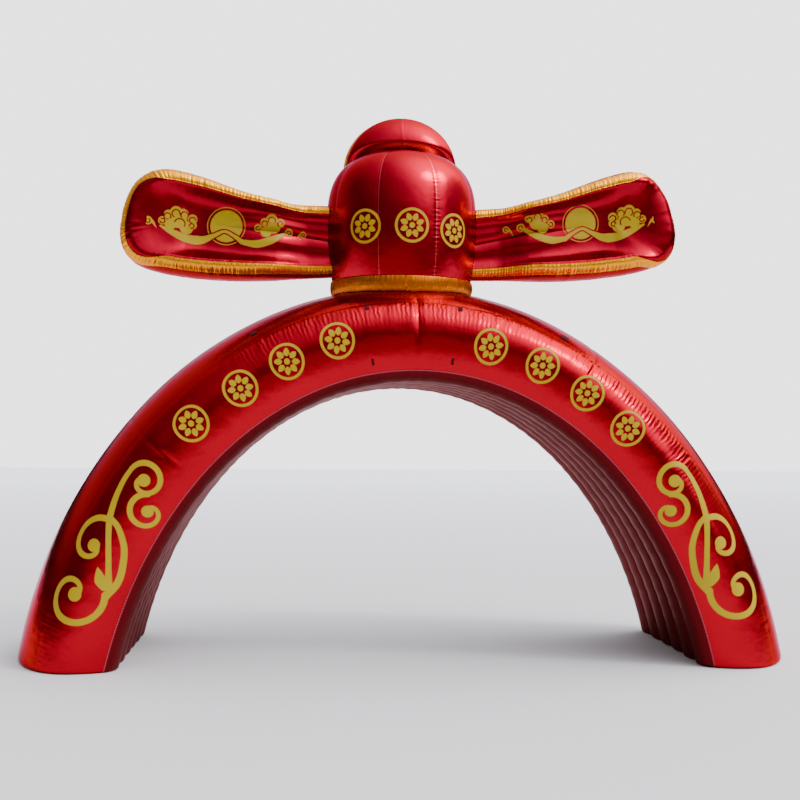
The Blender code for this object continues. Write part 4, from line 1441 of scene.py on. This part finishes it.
def tube_patch(degrees, shares):
    """Points, normals and lengths along and out from the front corner, on the tube's front panel."""
    angle = np.radians(degrees)[:, None] + 0 * shares[None, :]
    share = 1 + shares[None, :] + 0 * degrees[:, None]
    points = tube_skin(angle, share)
    normals = tube_normal(angle, share)
    if normals[..., 1].mean() > 0:
        normals = -normals
    run = tube_run(angle)
    step = np.linalg.norm(np.diff(tube_base(angle, share), axis=1), axis=-1)
    out = np.concatenate([np.zeros((len(degrees), 1)), np.cumsum(step, axis=1)], axis=1)
    return points, normals, run, out


def make_vine(side, sign):
    """The gold vine scroll printed on one leg."""
    degrees = sign * np.linspace(43.0, 70.5, 250)
    shares = np.linspace(0.9995, 0.655, 110)
    points, normals, run, out = tube_patch(degrees, shares)
    start = tube_run(np.radians(sign * 45.0))
    down = sign * (run - start) * 0.985
    shift = (0.045, 0.035) if sign < 0 else (0.0, 0.0)
    field = vine_field(down - shift[0], out - shift[1])
    return print_piece("vine_print_" + side, [(points, normals, field)])


def refined(grid, rows, columns):
    """A grid with more points on its straight lines, so that a print lies on the same facets."""
    for axis, parts in ((0, rows), (1, columns)):
        count = grid.shape[axis]
        place = np.arange((count - 1) * parts + 1) / parts
        low = np.minimum(place.astype(int), count - 2)
        share = (place - low).reshape((-1, 1, 1) if axis == 0 else (1, -1, 1))
        grid = np.take(grid, low, axis=axis) * (1 - share) + np.take(grid, low + 1, axis=axis) * share
    return grid


def make_cloud_print(side, *shape):
    """The cloud-and-sun print on a wing's front face."""
    grid, normals, _, _, face = wing_surface(*shape)
    front = refined(grid[:, : face + 1], *PRINT_REFINING)
    front_normals = unit(refined(normals[:, : face + 1], *PRINT_REFINING))
    middle_reach, middle_height = PRINT_MIDDLES[side]
    out = (front[..., 0] - HAT_X) * shape[0] - middle_reach
    up = front[..., 2] - middle_height - PRINT_TILT[side] * out
    near = (np.abs(out) < 0.66) & (np.abs(up) < 0.19)
    field = np.full(out.shape, 1.0)
    field[near] = cloud_field(out[near], up[near])
    return print_piece("cloud_print_" + side, [(front, front_normals, field)])


def make_tube_medallions():
    patches = []
    for degrees, share in TUBE_MEDALLIONS:
        around = np.linspace(degrees - 3.6, degrees + 3.6, 64)
        across = np.linspace(share - 0.125, share + 0.125, 64)
        points, normals, run, out = tube_patch(around, across[::-1])
        middle = out[:, np.argmin(np.abs(across[::-1] - share))][:, None]
        along = run - tube_run(np.radians(degrees))
        patches.append((points, normals, medallion_field(along, out - middle, TUBE_MEDALLION_RADIUS)))
    return print_piece("tube_medallions", patches)


def make_hat_medallions():
    patches = []
    for degrees, height in HAT_MEDALLIONS:
        turn = np.radians(degrees) + np.linspace(-0.27, 0.27, 60)[:, None] + np.zeros((1, 60))
        level = height + np.linspace(-0.16, 0.16, 60)[None, :] + np.zeros((60, 1))
        points = body_points(turn, level)
        normals = grid_normals(points, False, np.array([HAT_X, 0.0, height]))
        x = (turn - np.radians(degrees)) * BODY_RADIUS
        patches.append((points, normals, medallion_field(x, level - height, HAT_MEDALLION_RADIUS)))
    return print_piece("hat_medallions", patches)


def make_tabs():
    """Flat webbing tabs on the tube, each with a rounded edge and a slightly raised middle."""
    made = []
    for number, (degrees, share, width, length) in enumerate(TIE_TABS, start=1):
        along = np.linspace(-1, 1, 15)[:, None]
        across = np.linspace(-1, 1, 15)[None, :]
        angle = np.radians(degrees) + along * width / 2 / 2.75 + 0 * across
        metres = FRONT_METRES if share > 2 / PANELS else TOP_METRES
        place = 1 + share + across * length / 2 / metres + 0 * along
        points = tube_skin(angle, place)
        normals = tube_normal(angle, place)
        if normals[..., 1].mean() > 0:
            normals = -normals
        raised = 0.0022 * (1 - np.maximum(np.abs(along), np.abs(across)) ** 6) + 0.0006
        points = points + normals * (raised * 0.4)[..., None]
        shape = (15, 15)
        faces = grid_faces(*shape, False)
        places, faces = shell(points.reshape(-1, 3), normals.reshape(-1, 3), faces, 0.0010, 0.0022)
        uv = np.stack(np.broadcast_arrays(along * width / 2, across * length / 2), axis=-1).reshape(-1, 2)
        made.append(make_mesh("tab_%d" % number, places, faces, (WEBBING,), (), np.tile(uv, (2, 1))))
    return made


# Stage


def make_floor():
    """A pale floor that ends in front of the camera's view, so that the cloth mirrors darker ground."""
    side, front, back = 45.0, -8.0, 45.0
    mesh = bpy.data.meshes.new("floor")
    corners = [(-side, front, 0), (side, front, 0), (side, back, 0), (-side, back, 0)]
    mesh.from_pydata(corners, [], [(0, 1, 2, 3)])
    made, tree, shader = new_material("floor_pale", (0.70, 0.70, 0.69), 0.0, 0.9)
    place, _ = coordinates(tree)
    away = node(tree, "ShaderNodeVectorMath", [(0, place)], operation="LENGTH").outputs["Value"]
    pale = mixed(tree, remap(tree, away, 5.0, 32.0, 0.0, 1.0), (0.66, 0.65, 0.62), (0.98, 0.98, 0.98))
    tree.links.new(pale, shader.inputs["Base Color"])
    mesh.materials.append(made)
    floor = bpy.data.objects.new("floor", mesh)
    floor.location.z = -0.002
    bpy.context.scene.collection.objects.link(floor)


# Sky: direction of its brightest part, then (agreement with it, light) for the rest
GLOW = (0.696, -0.123, 0.707)
GLOW_LIGHT = ((0.0, 0.14), (0.35, 0.20), (0.50, 0.36), (0.68, 0.85), (0.80, 1.7), (0.90, 3.4), (1.0, 6.5))
# Light by height: (half the upward share of the direction plus a half, light), then where the sky begins
GROUND_LIGHT = (
    (0.0, 0.5),
    (0.42, 0.6),
    (0.47, 0.85),
    (0.484, 0.75),
    (0.494, 0.035),
    (0.552, 0.035),
    (0.585, 0.0),
)
SKY_START = (0.552, 0.600)
BRIGHTEST = 8.0
BACK_LIGHT = 0.7  # added to the sky behind the arch
RIGHT_GROUND = 0.35  # share of the ground's light that is left on the right
RIGHT_SKY = (0.73, 0.84, 0.16)  # where the sky darkens low on the right, and the share that is left


def make_light():
    """Sky light, brightest above on the right, over a dark low horizon and dull ground, and a soft sun."""
    world = bpy.data.worlds.new("studio")
    bpy.context.scene.world = world
    world.use_nodes = True
    tree = world.node_tree
    tree.nodes.clear()
    direction = node(tree, "ShaderNodeTexCoord").outputs["Generated"]
    height = node(tree, "ShaderNodeSeparateXYZ", [(0, direction)]).outputs["Z"]
    up = remap(tree, height, -1.0, 1.0, 0.0, 1.0)
    low = ramp(tree, up, [(place, grey(light / BRIGHTEST)) for place, light in GROUND_LIGHT])
    above = ramp(tree, up, [(SKY_START[0], grey(0.0)), (SKY_START[1], grey(1.0))])
    agreement = node(tree, "ShaderNodeVectorMath", [(0, direction), (1, GLOW)], operation="DOT_PRODUCT")
    glow_place = remap(tree, agreement.outputs["Value"], -1.0, 1.0, 0.0, 1.0)
    glow = ramp(tree, glow_place, [(place, grey(light / BRIGHTEST)) for place, light in GLOW_LIGHT])
    axes = node(tree, "ShaderNodeSeparateXYZ", [(0, direction)]).outputs
    start, end, left = RIGHT_SKY
    glow = maths(tree, "MULTIPLY", glow, remap(tree, axes["X"], start, end, 1.0, left))
    low = maths(tree, "MULTIPLY", low, remap(tree, axes["X"], 0.15, 0.75, 1.0, RIGHT_GROUND))
    behind = remap(tree, axes["Y"], 0.0, 0.9, 0.0, BACK_LIGHT / BRIGHTEST)
    high = maths(tree, "MULTIPLY", maths(tree, "ADD", glow, behind), above)
    total = maths(tree, "MULTIPLY", maths(tree, "ADD", low, high), BRIGHTEST)
    tint = mixed(tree, above, (1.0, 0.85, 0.50), (0.97, 0.98, 1.10))
    sky = node(tree, "ShaderNodeBackground", [("Color", tint), ("Strength", total)])
    backdrop = node(tree, "ShaderNodeBackground", [("Color", (1.0, 1.0, 1.0, 1.0)), ("Strength", 2.8)])
    seen = node(tree, "ShaderNodeLightPath").outputs["Is Camera Ray"]
    mix = node(tree, "ShaderNodeMixShader", [(0, seen), (1, sky.outputs[0]), (2, backdrop.outputs[0])])
    node(tree, "ShaderNodeOutputWorld", [("Surface", mix.outputs[0])])
    sun = bpy.data.lights.new("sun", "SUN")
    sun.energy = 1.3
    sun.angle = np.radians(12.0)
    lamp = bpy.data.objects.new("sun", sun)
    towards = unit(np.array([0.62, -0.34, 0.71]))
    side = unit(np.cross((0, 0, 1), towards))
    matrix = Matrix.Identity(4)
    for k in range(3):
        matrix[k][0], matrix[k][1], matrix[k][2] = side[k], np.cross(towards, side)[k], towards[k]
    lamp.matrix_world = matrix
    bpy.context.scene.collection.objects.link(lamp)


# Camera: place, focal length in pixels of an 800 pixel frame, turns in radians
CAMERA_PLACE = (-0.859, -9.617, 1.731)
FOCAL_PIXELS = 1207.8
CAMERA_TURNS = (0.0832, 0.0258, 0.0081)


def make_camera():
    """The camera looks along +Y, then rolls, tilts and turns."""
    yaw, pitch, roll = CAMERA_TURNS

    def turned(x, y, z):
        c, s = np.cos(roll), np.sin(roll)
        x, z = c * x - s * z, s * x + c * z
        c, s = np.cos(pitch), np.sin(pitch)
        y, z = c * y - s * z, s * y + c * z
        c, s = np.cos(yaw), np.sin(yaw)
        return np.array([c * x + s * y, -s * x + c * y, z])

    data = bpy.data.cameras.new("camera")
    data.sensor_width = 36.0
    data.lens = FOCAL_PIXELS * 36.0 / 800
    camera = bpy.data.objects.new("camera", data)
    matrix = Matrix.Identity(4)
    for column, axis in enumerate((turned(1, 0, 0), turned(0, 0, 1), -turned(0, 1, 0))):
        for row in range(3):
            matrix[row][column] = axis[row]
    for row in range(3):
        matrix[row][3] = CAMERA_PLACE[row]
    camera.matrix_world = matrix
    bpy.context.scene.collection.objects.link(camera)
    bpy.context.scene.camera = camera


def main():
    make_camera()
    make_light()
    make_floor()
    dress(make_tube(), "arch_tube")
    dress(make_body(), "hat_body")
    dress(make_base_band(), "hat_band")
    cutter = make_cutter()
    crown, crown_band = make_crown(cutter)
    bpy.data.objects.remove(cutter)
    dress(crown, "hat_crown")
    dress(crown_band, "crown_band")
    for side in WING_SIDES:
        dress(make_wing(*side), "wing_" + side[0])
        dress(make_wing_band(*side), "wing_band_" + side[0])
        dress(make_cloud_print(*side), None)
    for number, tab in enumerate(make_tabs(), start=1):
        dress(tab, "tie_tab_%d" % number)
    for side, sign in (("left", -1), ("right", 1)):
        dress(make_vine(side, sign), None)
    dress(make_tube_medallions(), None)
    dress(make_hat_medallions(), None)


main()
